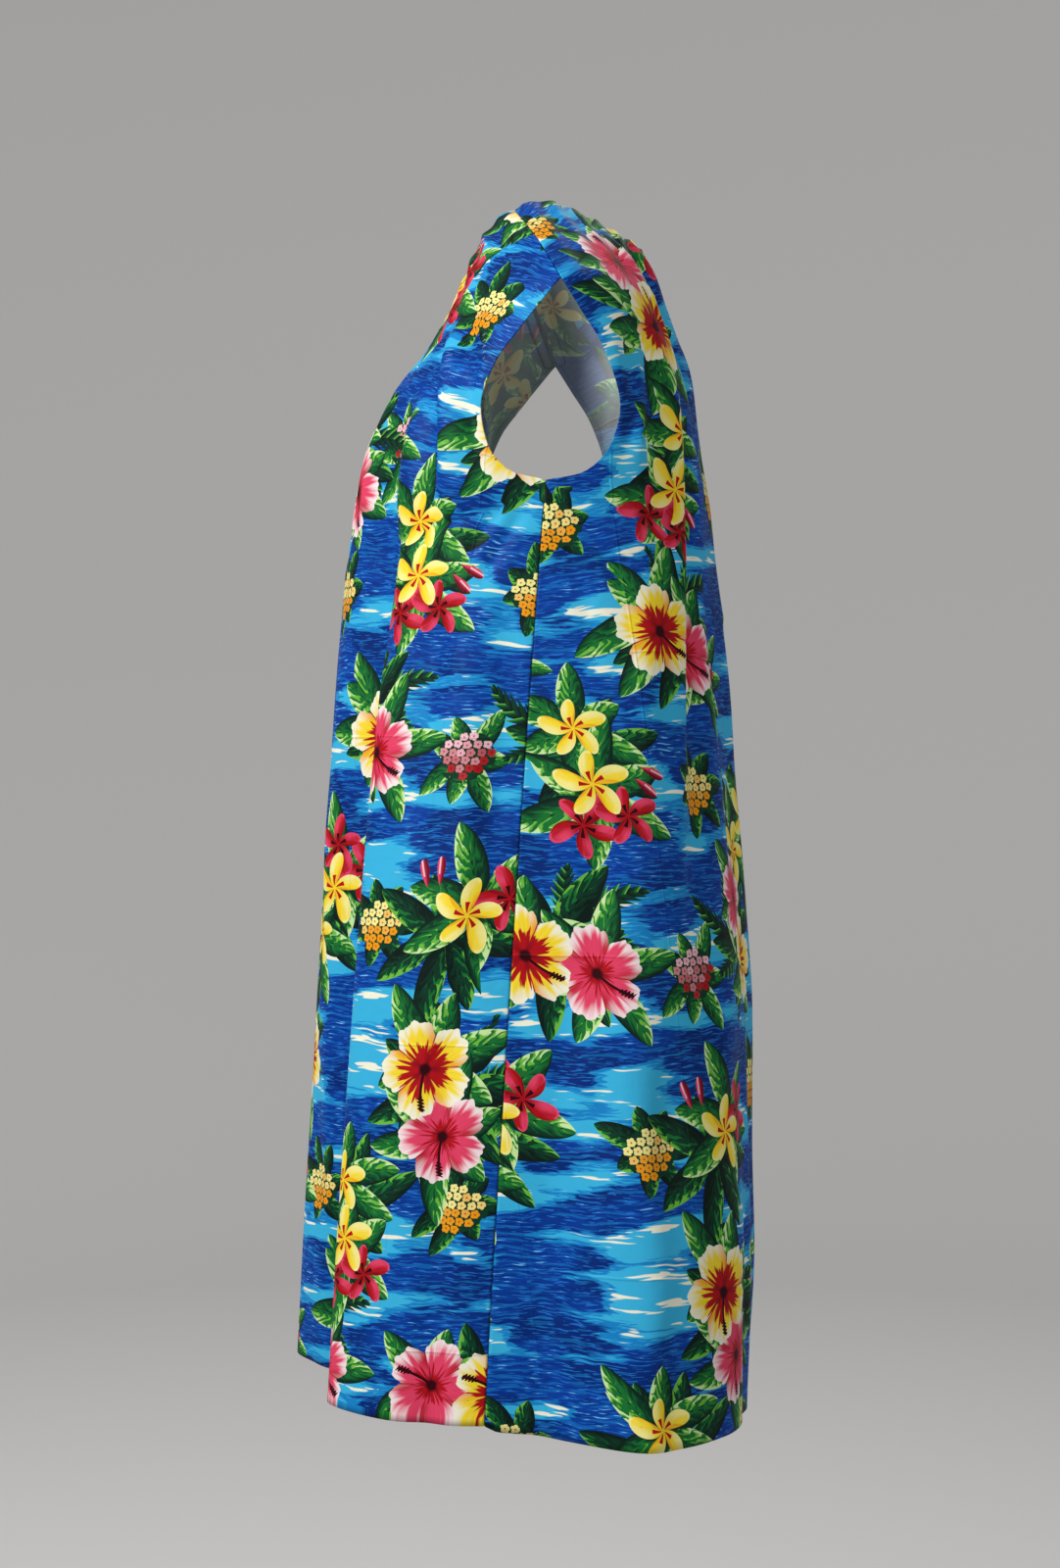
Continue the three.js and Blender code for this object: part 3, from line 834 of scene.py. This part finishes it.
def feed(tree, value, place):
    """Links a number, colour or socket to a node's input, or sets it there."""
    if isinstance(value, Ink):
        tree.links.new(value.socket, place)
    elif isinstance(value, tuple):
        place.default_value = (*value, 1)
    else:
        place.default_value = value


def length_of(x, y):
    """Distance from the place where x and y are 0."""
    return (x * x + y * y).math("SQRT")


def place_of(tree, x, y, z):
    """One vector socket from three numbers."""
    node = tree.nodes.new("ShaderNodeCombineXYZ")
    for value, place in zip((x, y, z), node.inputs):
        feed(tree, value, place)
    return node.outputs[0]


def noise(tree, x, y, detail, seed):
    """Soft noise from 0 to 1, with lumps about one unit across."""
    node = tree.nodes.new("ShaderNodeTexNoise")
    node.inputs["Scale"].default_value = 1
    node.inputs["Detail"].default_value = detail
    tree.links.new(place_of(tree, x, y, seed), node.inputs["Vector"])
    return Ink(tree, node.outputs["Fac"])


def chance(tree, x, y, seed):
    """Three even random numbers for a whole x and y."""
    node = tree.nodes.new("ShaderNodeTexWhiteNoise")
    node.noise_dimensions = "3D"
    tree.links.new(place_of(tree, x, y, seed), node.inputs["Vector"])
    split = tree.nodes.new("ShaderNodeSeparateColor")
    tree.links.new(node.outputs["Color"], split.inputs[0])
    return [Ink(tree, socket) for socket in split.outputs]


def mixed(tree, share, first, second):
    """The first colour, turned into the second by a share from 0 to 1."""
    node = tree.nodes.new("ShaderNodeMix")
    node.data_type = "RGBA"
    feed(tree, share, node.inputs["Factor"])
    feed(tree, first, node.inputs["A"])
    feed(tree, second, node.inputs["B"])
    return Ink(tree, node.outputs["Result"])


def cells(tree, x, y, wide, tall, stray, seed):
    """Splits the cloth into staggered cells. Gives the place within each from a strayed centre,
    and three random numbers."""
    row = (y / tall).whole()
    shifted = x / wide + row * 0.5
    column = shifted.whole()
    random = chance(tree, column, row, seed)
    from_x = (shifted - column - 0.5) * wide - (random[0] - 0.5) * (2 * stray)
    from_y = (y / tall - row - 0.5) * tall - (random[1] - 0.5) * (2 * stray)
    return from_x, from_y, random


def cloth_place(tree):
    """The place on the flat cloth, in metres."""
    cloth = tree.nodes.new("ShaderNodeUVMap")
    cloth.uv_map = "cloth"
    split = tree.nodes.new("ShaderNodeSeparateXYZ")
    tree.links.new(cloth.outputs[0], split.inputs[0])
    return Ink(tree, split.outputs[0]), Ink(tree, split.outputs[1])


def turned(x, y, turn):
    """The same place, seen from a frame turned by an angle."""
    cos = turn.cosine()
    sin = turn.sine()
    return x * cos - y * sin, x * sin + y * cos


def sector(x, y, count, twist=0.0, radius=1.0):
    """Distance from the centre, and the angle from the middle of one of count equal sectors."""
    away = length_of(x, y)
    angle = y.math("ARCTAN2", x) + away * (twist / radius)
    turn = angle * (count / (2 * math.pi)) + 0.5
    number = turn.whole()
    return away, (turn - number - 0.5) * (2 * math.pi / count), number


# Printing inks, as linear red, green and blue.
DEEP = (0.0, 0.022, 0.17)
ROYAL = (0.001, 0.047, 0.32)
RIPPLE = (0.014, 0.17, 0.6)
PALE_RIPPLE = (0.2, 0.55, 0.86)
SHALLOW = (0.008, 0.22, 0.56)
LAGOON = (0.04, 0.45, 0.73)
CREAM = (0.92, 0.89, 0.7)
SHADE = (0.002, 0.011, 0.008)
DARK_LEAF = (0.003, 0.04, 0.018)
LEAF = (0.008, 0.16, 0.03)
BRIGHT_LEAF = (0.15, 0.48, 0.05)
LEAF_LIGHT = (0.6, 0.82, 0.36)
YELLOW = (0.95, 0.71, 0.03)
LEMON = (0.95, 0.86, 0.3)
GOLD = (0.86, 0.33, 0.006)
RED = (0.44, 0.004, 0.008)
CRIMSON = (0.17, 0.0, 0.008)
MAROON = (0.03, 0.0, 0.003)
ROSE = (0.78, 0.055, 0.13)
PINK = (0.92, 0.52, 0.58)
BLUSH = (0.95, 0.78, 0.78)


# The functions below paint one motif each over the colour that they are given. Their bare numbers
# are shares of a petal, leaf or stroke, and strengths of ink.
def water(tree, x, y, shelter):
    """Rippled blue water colour with ragged pale patches. shelter: 1 where a patch is likelier."""
    drift = noise(tree, x / 90, y / 50, 1, 3)
    wavy = y + (noise(tree, x / 24, y / 18, 1, 5) - 0.5) * 6
    dashes = noise(tree, x / 13, wavy / 1.25, 1, 1)
    strokes = noise(tree, x / 30, wavy / 2.6, 1, 2)
    colour = mixed(tree, drift.ramp(0.38, 0.56), DEEP, ROYAL)
    colour = mixed(tree, strokes.ramp(0.57, 0.61) * 0.4, colour, SHALLOW)
    colour = mixed(tree, strokes.ramp(0.44, 0.4) * 0.6, colour, DEEP)
    colour = mixed(tree, dashes.ramp(0.575, 0.6) * 0.8, colour, RIPPLE)
    colour = mixed(tree, (dashes * 0.6 + drift * 0.4).ramp(0.645, 0.66), colour, PALE_RIPPLE)
    patch = noise(tree, x / 110, y / 30, 1, 8) + shelter * 0.19 + (strokes - 0.5) * 0.16
    near = patch.ramp(0.545, 0.57)
    core = patch.ramp(0.605, 0.62)
    shore = mixed(tree, core, SHALLOW, LAGOON)
    shore = mixed(tree, dashes.ramp(0.56, 0.6) * core.opposite() * 0.7, shore, LAGOON)
    foam = noise(tree, x / 55, y / 8, 1, 9) + (strokes - 0.5) * 0.5
    shore = mixed(tree, foam.ramp(0.61, 0.65) * core, shore, CREAM)
    return mixed(tree, near, colour, shore)


def blossom_head(tree, x, y, colour, shown, half, inks, seed):
    """A round head of small five-petalled blossoms with dark eyes, over a dark leafy ground."""
    ground, low_ink, top_ink, eye_ink = inks
    from_x, from_y, random = cells(tree, x, y, FLORET, FLORET * 0.85, FLORET * 0.1, seed)
    away, angle = sector(from_x, from_y, 5)[:2]
    petal = away / FLORET + angle * angle * 0.35
    middle_x = (x - from_x) / half
    middle_y = (y - from_y) / half * 1.2
    whole = length_of(middle_x, middle_y).below(0.9) * shown
    body = mixed(tree, (middle_y + random[2] - middle_x * 0.4).ramp(-0.2, 1.3), low_ink, top_ink)
    body = mixed(tree, petal.below(0.13), body, eye_ink)
    behind = length_of(x / half, y / half * 1.2) + (random[0] - 0.5) * 0.3
    colour = mixed(tree, behind.below(0.95) * shown, colour, ground)
    return mixed(tree, petal.below(0.5) * whole, colour, body)


def leaves(tree, x, y, colour, shown, reach, count, half, variety, seed, inks):
    """A rosette of broad pointed leaves, painted in strokes along their side veins."""
    dark, body_ink, bright, light = inks
    away, angle, number = sector(x, y, count)
    random = chance(tree, number, variety, seed)
    long = (random[0] * 0.4 + 0.68) * reach
    bent = angle - (random[1] - 0.5) * 0.5 * away / reach
    along = away * bent.cosine() / long
    aside = away * bent.sine() / half
    width = along.most(0) ** 0.62 * along.opposite().most(0) ** 0.72 * 1.75
    inside = aside.size().below(width) * along.below(1) * shown
    wide = aside / width.most(0.05)
    brush = noise(tree, along * 4 + number * 3, aside * 3.5, 1, seed)
    strokes = (along * 6 - wide.size() * 1.7 + brush * 1.8).part()
    lit = wide + brush * 1.3 + along * 0.5
    body = mixed(tree, (lit + strokes * 0.6).ramp(0.5, 1.15), dark, body_ink)
    body = mixed(tree, (strokes + lit * 0.7).ramp(1.42, 1.6), body, bright)
    body = mixed(tree, (strokes * 0.7 + lit).ramp(2.05, 2.2), body, light)
    body = mixed(tree, (along + brush * 0.4).ramp(0.6, 0.28) * 0.92, body, SHADE)
    body = mixed(tree, wide.ramp(-0.6, -1.0) * 0.9, body, SHADE)
    body = mixed(tree, (wide.size() * -4 + strokes).above(0.55) * along.above(0.35), body, dark)
    return mixed(tree, inside, colour, body)


def ferns(tree, x, y, colour, shown, reach, seed):
    """A spray of arching fern leaves, cut into narrow leaflets."""
    away, angle, number = sector(x, y, 7, 0.5, reach)
    random = chance(tree, number, seed, seed)
    long = (random[0] * 0.35 + 0.7) * reach
    along = away * angle.cosine() / long
    aside = away * angle.sine()
    leaflet = (along * 8 - aside.size() * 0.13).part()
    width = (along.most(0).least(1) * math.pi).sine() ** 0.55 * (reach * 0.17)
    inside = aside.size().below(width * (leaflet * 0.55 + 0.45)) * along.below(1) * shown
    body = mixed(tree, leaflet.ramp(0.05, 0.6) * along.ramp(0.2, 0.6), SHADE, DARK_LEAF)
    body = mixed(tree, leaflet.ramp(0.55, 0.8) * aside.above(0) * along.above(0.4), body, LEAF)
    body = mixed(tree, leaflet.above(0.88) * aside.above(0), body, BRIGHT_LEAF)
    return mixed(tree, inside, colour, body)


def hibiscus(tree, x, y, colour, shown, radius, inks):
    """Five broad ruffled petals, a ragged throat and a long dark stamen."""
    throat, body_ink, rim_ink, fold_ink, spread = inks
    away, angle, number = sector(x, y, 5)
    lean = angle / (math.pi / 5)
    share = lean.size()
    along = away / radius
    streak = noise(tree, angle * 8 + number * 5, along * 1.1, 1, 51)
    ruffle = (angle * 17 + number * 2).sine() * 0.03 + (streak - 0.5) * 0.16
    edge = share**3 * -0.3 + 0.97 + ruffle
    inside = along.below(edge) * shown
    rim = (along / edge + (streak - 0.5) * 0.9).ramp(0.68, 1.0)
    body = mixed(tree, rim, body_ink, rim_ink)
    shade = lean.ramp(-0.35, -1.0) * along.ramp(0.2, 0.6)
    body = mixed(tree, shade * 0.85, body, fold_ink)
    ragged = along + share * 0.1 - (streak - 0.5) * 0.9
    body = mixed(tree, ragged.ramp(spread + 0.05, spread - 0.03), body, throat)
    vein = (angle * 19 + streak * 3).sine().size().below(0.15) * along.ramp(0.8, 0.5)
    body = mixed(tree, vein * 0.3, body, throat)
    body = mixed(tree, along.ramp(spread, 0.1) * share.ramp(0.2, 0.9) * 0.7, body, CRIMSON)
    body = mixed(tree, share.above(0.965) * along.above(0.35), body, throat)
    body = mixed(tree, along.ramp(0.16, 0.08), body, MAROON)
    colour = mixed(tree, inside, colour, body)
    curve = y - x * x / radius * 0.3
    tip = x.ramp(radius * 0.5, radius * 0.62)
    knobs = (x * 1.3).sine().size() * tip * 2.2 + 1.1
    stem = curve.size().below(knobs) * x.above(0) * x.below(radius * 0.82) * shown
    return mixed(tree, stem, colour, MAROON)


def plumeria(tree, x, y, colour, shown, radius, inks, twist):
    """Five separate petals set like a windmill, with strokes from the centre."""
    body_ink, edge_ink, fold_ink, stroke_ink = inks
    away, angle, number = sector(x, y, 5, twist, radius)
    lean = angle / (math.pi / 5)
    share = lean.size()
    along = away / radius
    uneven = (number * 2.3).sine() * 0.07
    edge = share**1.7 * -0.85 + 1 + uneven
    inside = along.below(edge) * shown
    brush = noise(tree, angle * 7 + number * 3, along * 1.5, 1, 61)
    body = mixed(tree, (lean + brush).ramp(0.2, 0.9) * along.ramp(0.2, 0.6), body_ink, edge_ink)
    body = mixed(tree, (lean * -1 + brush * 0.8).ramp(0.75, 1.1) * 0.8, body, fold_ink)
    body = mixed(tree, (along / edge).above(0.93) * lean.above(-0.2), body, edge_ink)
    petal = share.below(0.3) * along.below(0.36) * along.above(0.07)
    return mixed(tree, inside, colour, mixed(tree, petal, body, stroke_ink))


def buds(tree, x, y, colour, shown, reach):
    """A pair of plump red buds, side by side, with a pale side."""
    for apart, turn in ((-0.22, -0.12), (0.26, 0.16)):
        cos = math.cos(turn)
        sin = math.sin(turn)
        beside = y - apart * reach
        along = (x * cos + beside * sin) / reach
        aside = beside * cos - x * sin
        width = along.most(0) ** 0.9 * along.opposite().most(0) ** 0.45 * (reach * 0.4)
        inside = aside.size().below(width) * along.below(1) * shown
        body = mixed(tree, (aside / width.most(0.1)).ramp(-0.6, 0.7), CRIMSON, ROSE)
        body = mixed(tree, (aside - 1.4).size().below(0.7) * along.above(0.4), body, PINK)
        colour = mixed(tree, inside, colour, body)
    return colour


LEAF_INKS = (DARK_LEAF, LEAF, BRIGHT_LEAF, LEAF_LIGHT)
REAR_LEAF_INKS = (SHADE, DARK_LEAF, LEAF, BRIGHT_LEAF)
LEMON_HEAD_INKS = (DARK_LEAF, GOLD, LEMON, RED)
RED_HEAD_INKS = (DARK_LEAF, RED, PINK, CRIMSON)
YELLOW_INKS = (RED, YELLOW, CREAM, GOLD, 0.5)
ROSE_INKS = (RED, ROSE, BLUSH, RED, 0.34)
PLUMERIA_INKS = (YELLOW, LEMON, GOLD, RED)
STAR_INKS = (RED, ROSE, CRIMSON, MAROON)

# The print is laid out in millimetres: its repeat, and how far a group strays from its place.
PER_METRE = 1000
REPEAT_WIDE = 226
REPEAT_TALL = 244
STRAY = 21

# The four groups of a repeat. across, up: how far the repeat is shifted for each, as shares of it.
# seed: for its three random numbers, which decide where it strays to, what it has and its turn.
GROUPS = {"big": (0, 0, 81), "small": (0.25, 0.5, 91), "low": (0.75, 0.5, 21), "far": (0.5, 0, 41)}

# Between how many radians these two are turned, each as one.
BIG_TURN = 5
SMALL_TURN = 4

# What only some groups have: the group, which of its random numbers decides, and what that passes.
SOMETIMES = {
    "lemon head": ("low", 2, 0.12),
    "red head": ("far", 2, 0.3),
    "fern": ("big", 0, 0.25),
    "pair": ("big", 1, 0.35),
    "more": ("small", 0, 0.3),
    "buds": ("small", 1, 0.4),
}

# Width of one small blossom in a round head.
FLORET = 7.6

# The motifs, from the lowest up: what it is, its group, its centre to the right and up from the
# group's, when it shows, and what its own function takes after that.
MOTIFS = [
    ("leaves", "low", 0, 4, "lemon head", (44, 7, 13, 0, 15, REAR_LEAF_INKS)),
    ("head", "low", 0, 0, "lemon head", (23, LEMON_HEAD_INKS, 22)),
    ("leaves", "far", 0, -6, "red head", (50, 7, 13, 0, 13, LEAF_INKS)),
    ("head", "far", 0, -3, "red head", (23, RED_HEAD_INKS, 42)),
    ("fern", "big", 14, 40, "fern", (68, 5)),
    ("leaves", "big", 8, 22, "always", (78, 7, 17, 0, 24, REAR_LEAF_INKS)),
    ("leaves", "small", -14, 18, "always", (72, 7, 16, 0, 29, REAR_LEAF_INKS)),
    ("leaves", "big", -8, 6, "always", (72, 6, 19, 0, 4, LEAF_INKS)),
    ("leaves", "big", 46, 30, "pair", (66, 6, 17, 1, 7, LEAF_INKS)),
    ("leaves", "small", -32, 33, "more", (60, 6, 16, 1, 11, LEAF_INKS)),
    ("leaves", "small", 6, -8, "always", (70, 6, 18, 0, 9, LEAF_INKS)),
    ("buds", "small", 26, 26, "buds", (22,)),
    ("plumeria", "small", 8, -33, "always", (27, STAR_INKS, -0.3)),
    ("plumeria", "small", 34, -8, "more", (25, STAR_INKS, 0.3)),
    ("plumeria", "small", -32, 33, "more", (26, PLUMERIA_INKS, 0.35)),
    ("plumeria", "small", 0, 0, "always", (29, PLUMERIA_INKS, 0.35)),
    ("hibiscus", "big", 46, 30, "pair", (37, ROSE_INKS)),
    ("hibiscus", "big", 0, 0, "always", (39, YELLOW_INKS)),
]


def flower_print(tree):
    """The whole print, from the flat cloth's own place in millimetres."""
    x, y = (place * PER_METRE for place in cloth_place(tree))
    places = {}
    randoms = {}
    for name, (across, up, seed) in GROUPS.items():
        from_x = x + REPEAT_WIDE * across
        from_y = y + REPEAT_TALL * up
        at_x, at_y, randoms[name] = cells(tree, from_x, from_y, REPEAT_WIDE, REPEAT_TALL, STRAY, seed)
        places[name] = (at_x, at_y)
    small_x, small_y = places["small"]
    big_x, big_y = places["big"]
    nearest = length_of(small_x / 1.7, small_y).least(length_of(big_x / 2, big_y))
    colour = water(tree, x, y, nearest.ramp(60, 10))
    places["big"] = turned(big_x, big_y, (randoms["big"][2] - 0.5) * BIG_TURN)
    places["small"] = turned(small_x, small_y, (randoms["small"][2] - 0.5) * SMALL_TURN)
    shown = {name: randoms[group][i].above(least) for name, (group, i, least) in SOMETIMES.items()}
    shown["always"] = 1
    draw = {"head": blossom_head, "fern": ferns, "buds": buds, "plumeria": plumeria, "hibiscus": hibiscus}
    for motif, group, right, up, when, values in MOTIFS:
        at = (places[group][0] - right, places[group][1] - up)
        if motif == "leaves":
            reach, count, half, variety, seed, inks = values
            values = (reach, count, half, randoms[group][variety], seed, inks)
            colour = leaves(tree, *at, colour, shown[when], *values)
        else:
            colour = draw[motif](tree, *at, colour, shown[when], *values)
    return colour


def press_line(across, step):
    """Height of sharp straight ridges that stand a step apart."""
    away = ((across / step).part() - 0.5).size() * step
    return away.ramp(PRESS_HALF, 0) * PRESS_HEIGHT


def weave_bump(tree, shader):
    """Fine plain weave, the soft crumple of washed cotton and faint press creases."""
    x, y = cloth_place(tree)
    turns = 2 * math.pi / WEAVE_STEP
    threads = (x * turns).sine() * (y * turns).sine()
    crumple = noise(tree, x / CRUMPLE_STEP, y / CRUMPLE_STEP, 2, 77)
    height = threads * WEAVE_HEIGHT + crumple * CRUMPLE_HEIGHT
    height = height + press_line(x, PRESS_WIDE) + press_line(y, PRESS_TALL)
    bump = tree.nodes.new("ShaderNodeBump")
    bump.inputs["Strength"].default_value = 1
    bump.inputs["Distance"].default_value = 1
    tree.links.new(height.socket, bump.inputs["Height"])
    tree.links.new(bump.outputs[0], shader.inputs["Normal"])


def new_material(name, finish):
    """A new material and its shader, which is set to a finish."""
    material = bpy.data.materials.new(name)
    material.use_nodes = True
    shader = material.node_tree.nodes["Principled BSDF"]
    for socket, value in finish.items():
        shader.inputs[socket].default_value = value
    return material, shader


def cloth_material(name, fading):
    """Printed broadcloth. fading: how far the print fades towards white, as on its reverse."""
    material, shader = new_material(name, CLOTH_FINISH)
    tree = material.node_tree
    colour = flower_print(tree)
    if fading:
        colour = mixed(tree, fading, colour, REVERSE_TINT)
    tree.links.new(colour.socket, shader.inputs["Base Color"])
    weave_bump(tree, shader)
    return material


def thread_material():
    """Blue sewing thread, a little uneven in colour."""
    material, shader = new_material("thread", THREAD_FINISH)
    tree = material.node_tree
    place = tree.nodes.new("ShaderNodeTexCoord")
    mottle = tree.nodes.new("ShaderNodeTexNoise")
    mottle.inputs["Scale"].default_value = THREAD_MOTTLE
    tree.links.new(place.outputs["Object"], mottle.inputs["Vector"])
    colour = mixed(tree, Ink(tree, mottle.outputs["Fac"]), DEEP, RIPPLE)
    tree.links.new(colour.socket, shader.inputs["Base Color"])
    return material


def camera_and_light():
    """The photograph's viewing angle, soft lamps and an even sky."""
    scene = bpy.context.scene
    lens_data = bpy.data.cameras.new("camera")
    lens_data.sensor_fit = "AUTO"
    lens_data.sensor_width = SENSOR
    lens_data.lens = SENSOR * CAMERA_AWAY / (PIXEL * PICTURE_TALL)
    camera = bpy.data.objects.new("camera", lens_data)
    camera.location = (CAMERA_AWAY, 0, CAMERA_HEIGHT)
    camera.rotation_euler = (math.pi / 2, 0, math.pi / 2)
    scene.collection.objects.link(camera)
    scene.camera = camera
    scene.view_settings.view_transform = "Standard"
    world = bpy.data.worlds.new("studio")
    world.use_nodes = True
    sky = world.node_tree.nodes["Background"]
    sky.inputs["Color"].default_value = (*SKY, 1)
    sky.inputs["Strength"].default_value = SKY_STRENGTH
    scene.world = world
    for name, place, size, power in LAMPS:
        data = bpy.data.lights.new(name, "AREA")
        data.shape = "DISK"
        data.size = size
        data.energy = power
        lamp = bpy.data.objects.new(name, data)
        lamp.location = place
        towards = Vector(LAMPS_AIM) - lamp.location
        lamp.rotation_euler = towards.to_track_quat("-Z", "Y").to_euler()
        scene.collection.objects.link(lamp)


def studio():
    """A pale floor that curves up all round into a wall. Only the camera and shadows meet it, so
    the soft light from all sides reaches the dress."""
    deselect()
    centre = (0, 0, FLOOR_HEIGHT)
    bpy.ops.mesh.primitive_circle_add(vertices=STUDIO_SIDES, radius=FLOOR_RADIUS, location=centre)
    cove = bpy.context.object
    cove.name = "cove"
    bpy.ops.object.transform_apply(location=True, rotation=True, scale=True)
    bpy.ops.object.mode_set(mode="EDIT")
    bpy.ops.mesh.select_all(action="SELECT")
    radius = FLOOR_RADIUS
    height = FLOOR_HEIGHT
    profile = []
    for step in range(1, COVE_STEPS + 1):
        turn = step / COVE_STEPS * math.pi / 2
        wide = FLOOR_RADIUS + COVE_RADIUS * math.sin(turn)
        profile.append((wide, FLOOR_HEIGHT + COVE_RADIUS * (1 - math.cos(turn))))
    profile.append((FLOOR_RADIUS + COVE_RADIUS, WALL_TOP))
    for next_radius, next_height in profile:
        rise = {"value": (0, 0, next_height - height)}
        bpy.ops.mesh.extrude_region_move(TRANSFORM_OT_translate=rise)
        grow = next_radius / radius
        bpy.ops.transform.resize(value=(grow, grow, 1), center_override=(0, 0, next_height))
        radius = next_radius
        height = next_height
    bpy.ops.mesh.select_all(action="DESELECT")
    bpy.ops.object.mode_set(mode="OBJECT")
    floor_edge = (FLOOR_RADIUS + profile[0][0]) / 2
    for edge in cove.data.edges:
        ends = [cove.data.vertices[i].co for i in edge.vertices]
        edge.select = all(math.hypot(end.x, end.y) < floor_edge for end in ends)
    bpy.ops.object.mode_set(mode="EDIT")
    bpy.ops.mesh.select_mode(type="EDGE")
    bpy.ops.mesh.edge_face_add()
    bpy.ops.mesh.select_all(action="SELECT")
    bpy.ops.mesh.normals_make_consistent(inside=True)
    bpy.ops.object.mode_set(mode="OBJECT")
    bpy.ops.object.shade_smooth()
    cove.visible_diffuse = False
    cove.visible_glossy = False
    cove.visible_shadow = False
    cove.data.materials.append(new_material("pale_floor", FLOOR_FINISH)[0])


camera_and_light()
studio()

FRONT = ("front_panel", FRONT_ROWS, ARMHOLE_FRONT, FRONT_FOLDS, FRONT_CREASES, FRONT_GATHERS, -1)
BACK = ("back_panel", BACK_ROWS, ARMHOLE_BACK, BACK_FOLDS, BACK_CREASES, BACK_GATHERS, 1)

panels = {}
for node, rows, armhole, folds, creases, gathers, outward in (FRONT, BACK):
    grid = folded_panel(rows, armhole, folds, creases, gathers, outward)
    panels[node] = {"grid": grid, "outward": outward}
front = panels["front_panel"]
back = panels["back_panel"]
front["normals"], back["normals"] = join_at_seams(front["grid"], back["grid"])
for node, panel in panels.items():
    wall = thickness(panel["grid"])[..., None]
    panel["inner"] = panel["grid"] - panel["normals"] * wall
    panel["flat"] = flat_pattern(panel["grid"], panel["outward"])
    panel["pattern"] = printed_place(panel["flat"], panel["grid"]) + CUT_FROM[node]

printed = cloth_material("printed_cloth", 0)
reverse = cloth_material("cloth_reverse", REVERSE_FADING)
thread = thread_material()

allowances = []
for side, column in (("right", 0), ("left", -1)):
    for seam, rows in (("shoulder", SHOULDER_ROWS), ("side", SIDE_ROWS)):
        name = f"{side}_{seam}_seam_allowance"
        allowances.append(seam_allowance(name, rows, column, front, back, reverse))

for node, panel in panels.items():
    outward = panel["outward"]
    finishes = [printed, reverse]
    piece = shell(node + "_cloth", panel["grid"], panel["inner"], panel["pattern"], outward, finishes)
    stitches = panel_stitches(node + "_stitches", panel, thread)
    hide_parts(node)
    sewn = [stitches, *(allowances if node == "front_panel" else [])]
    for part in (piece, *sewn):
        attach(part, "root")
    grid = panel["grid"]
    steps_down = grid[1:, :-1] - grid[:-1, :-1]
    steps_across = grid[:-1, 1:] - grid[:-1, :-1]
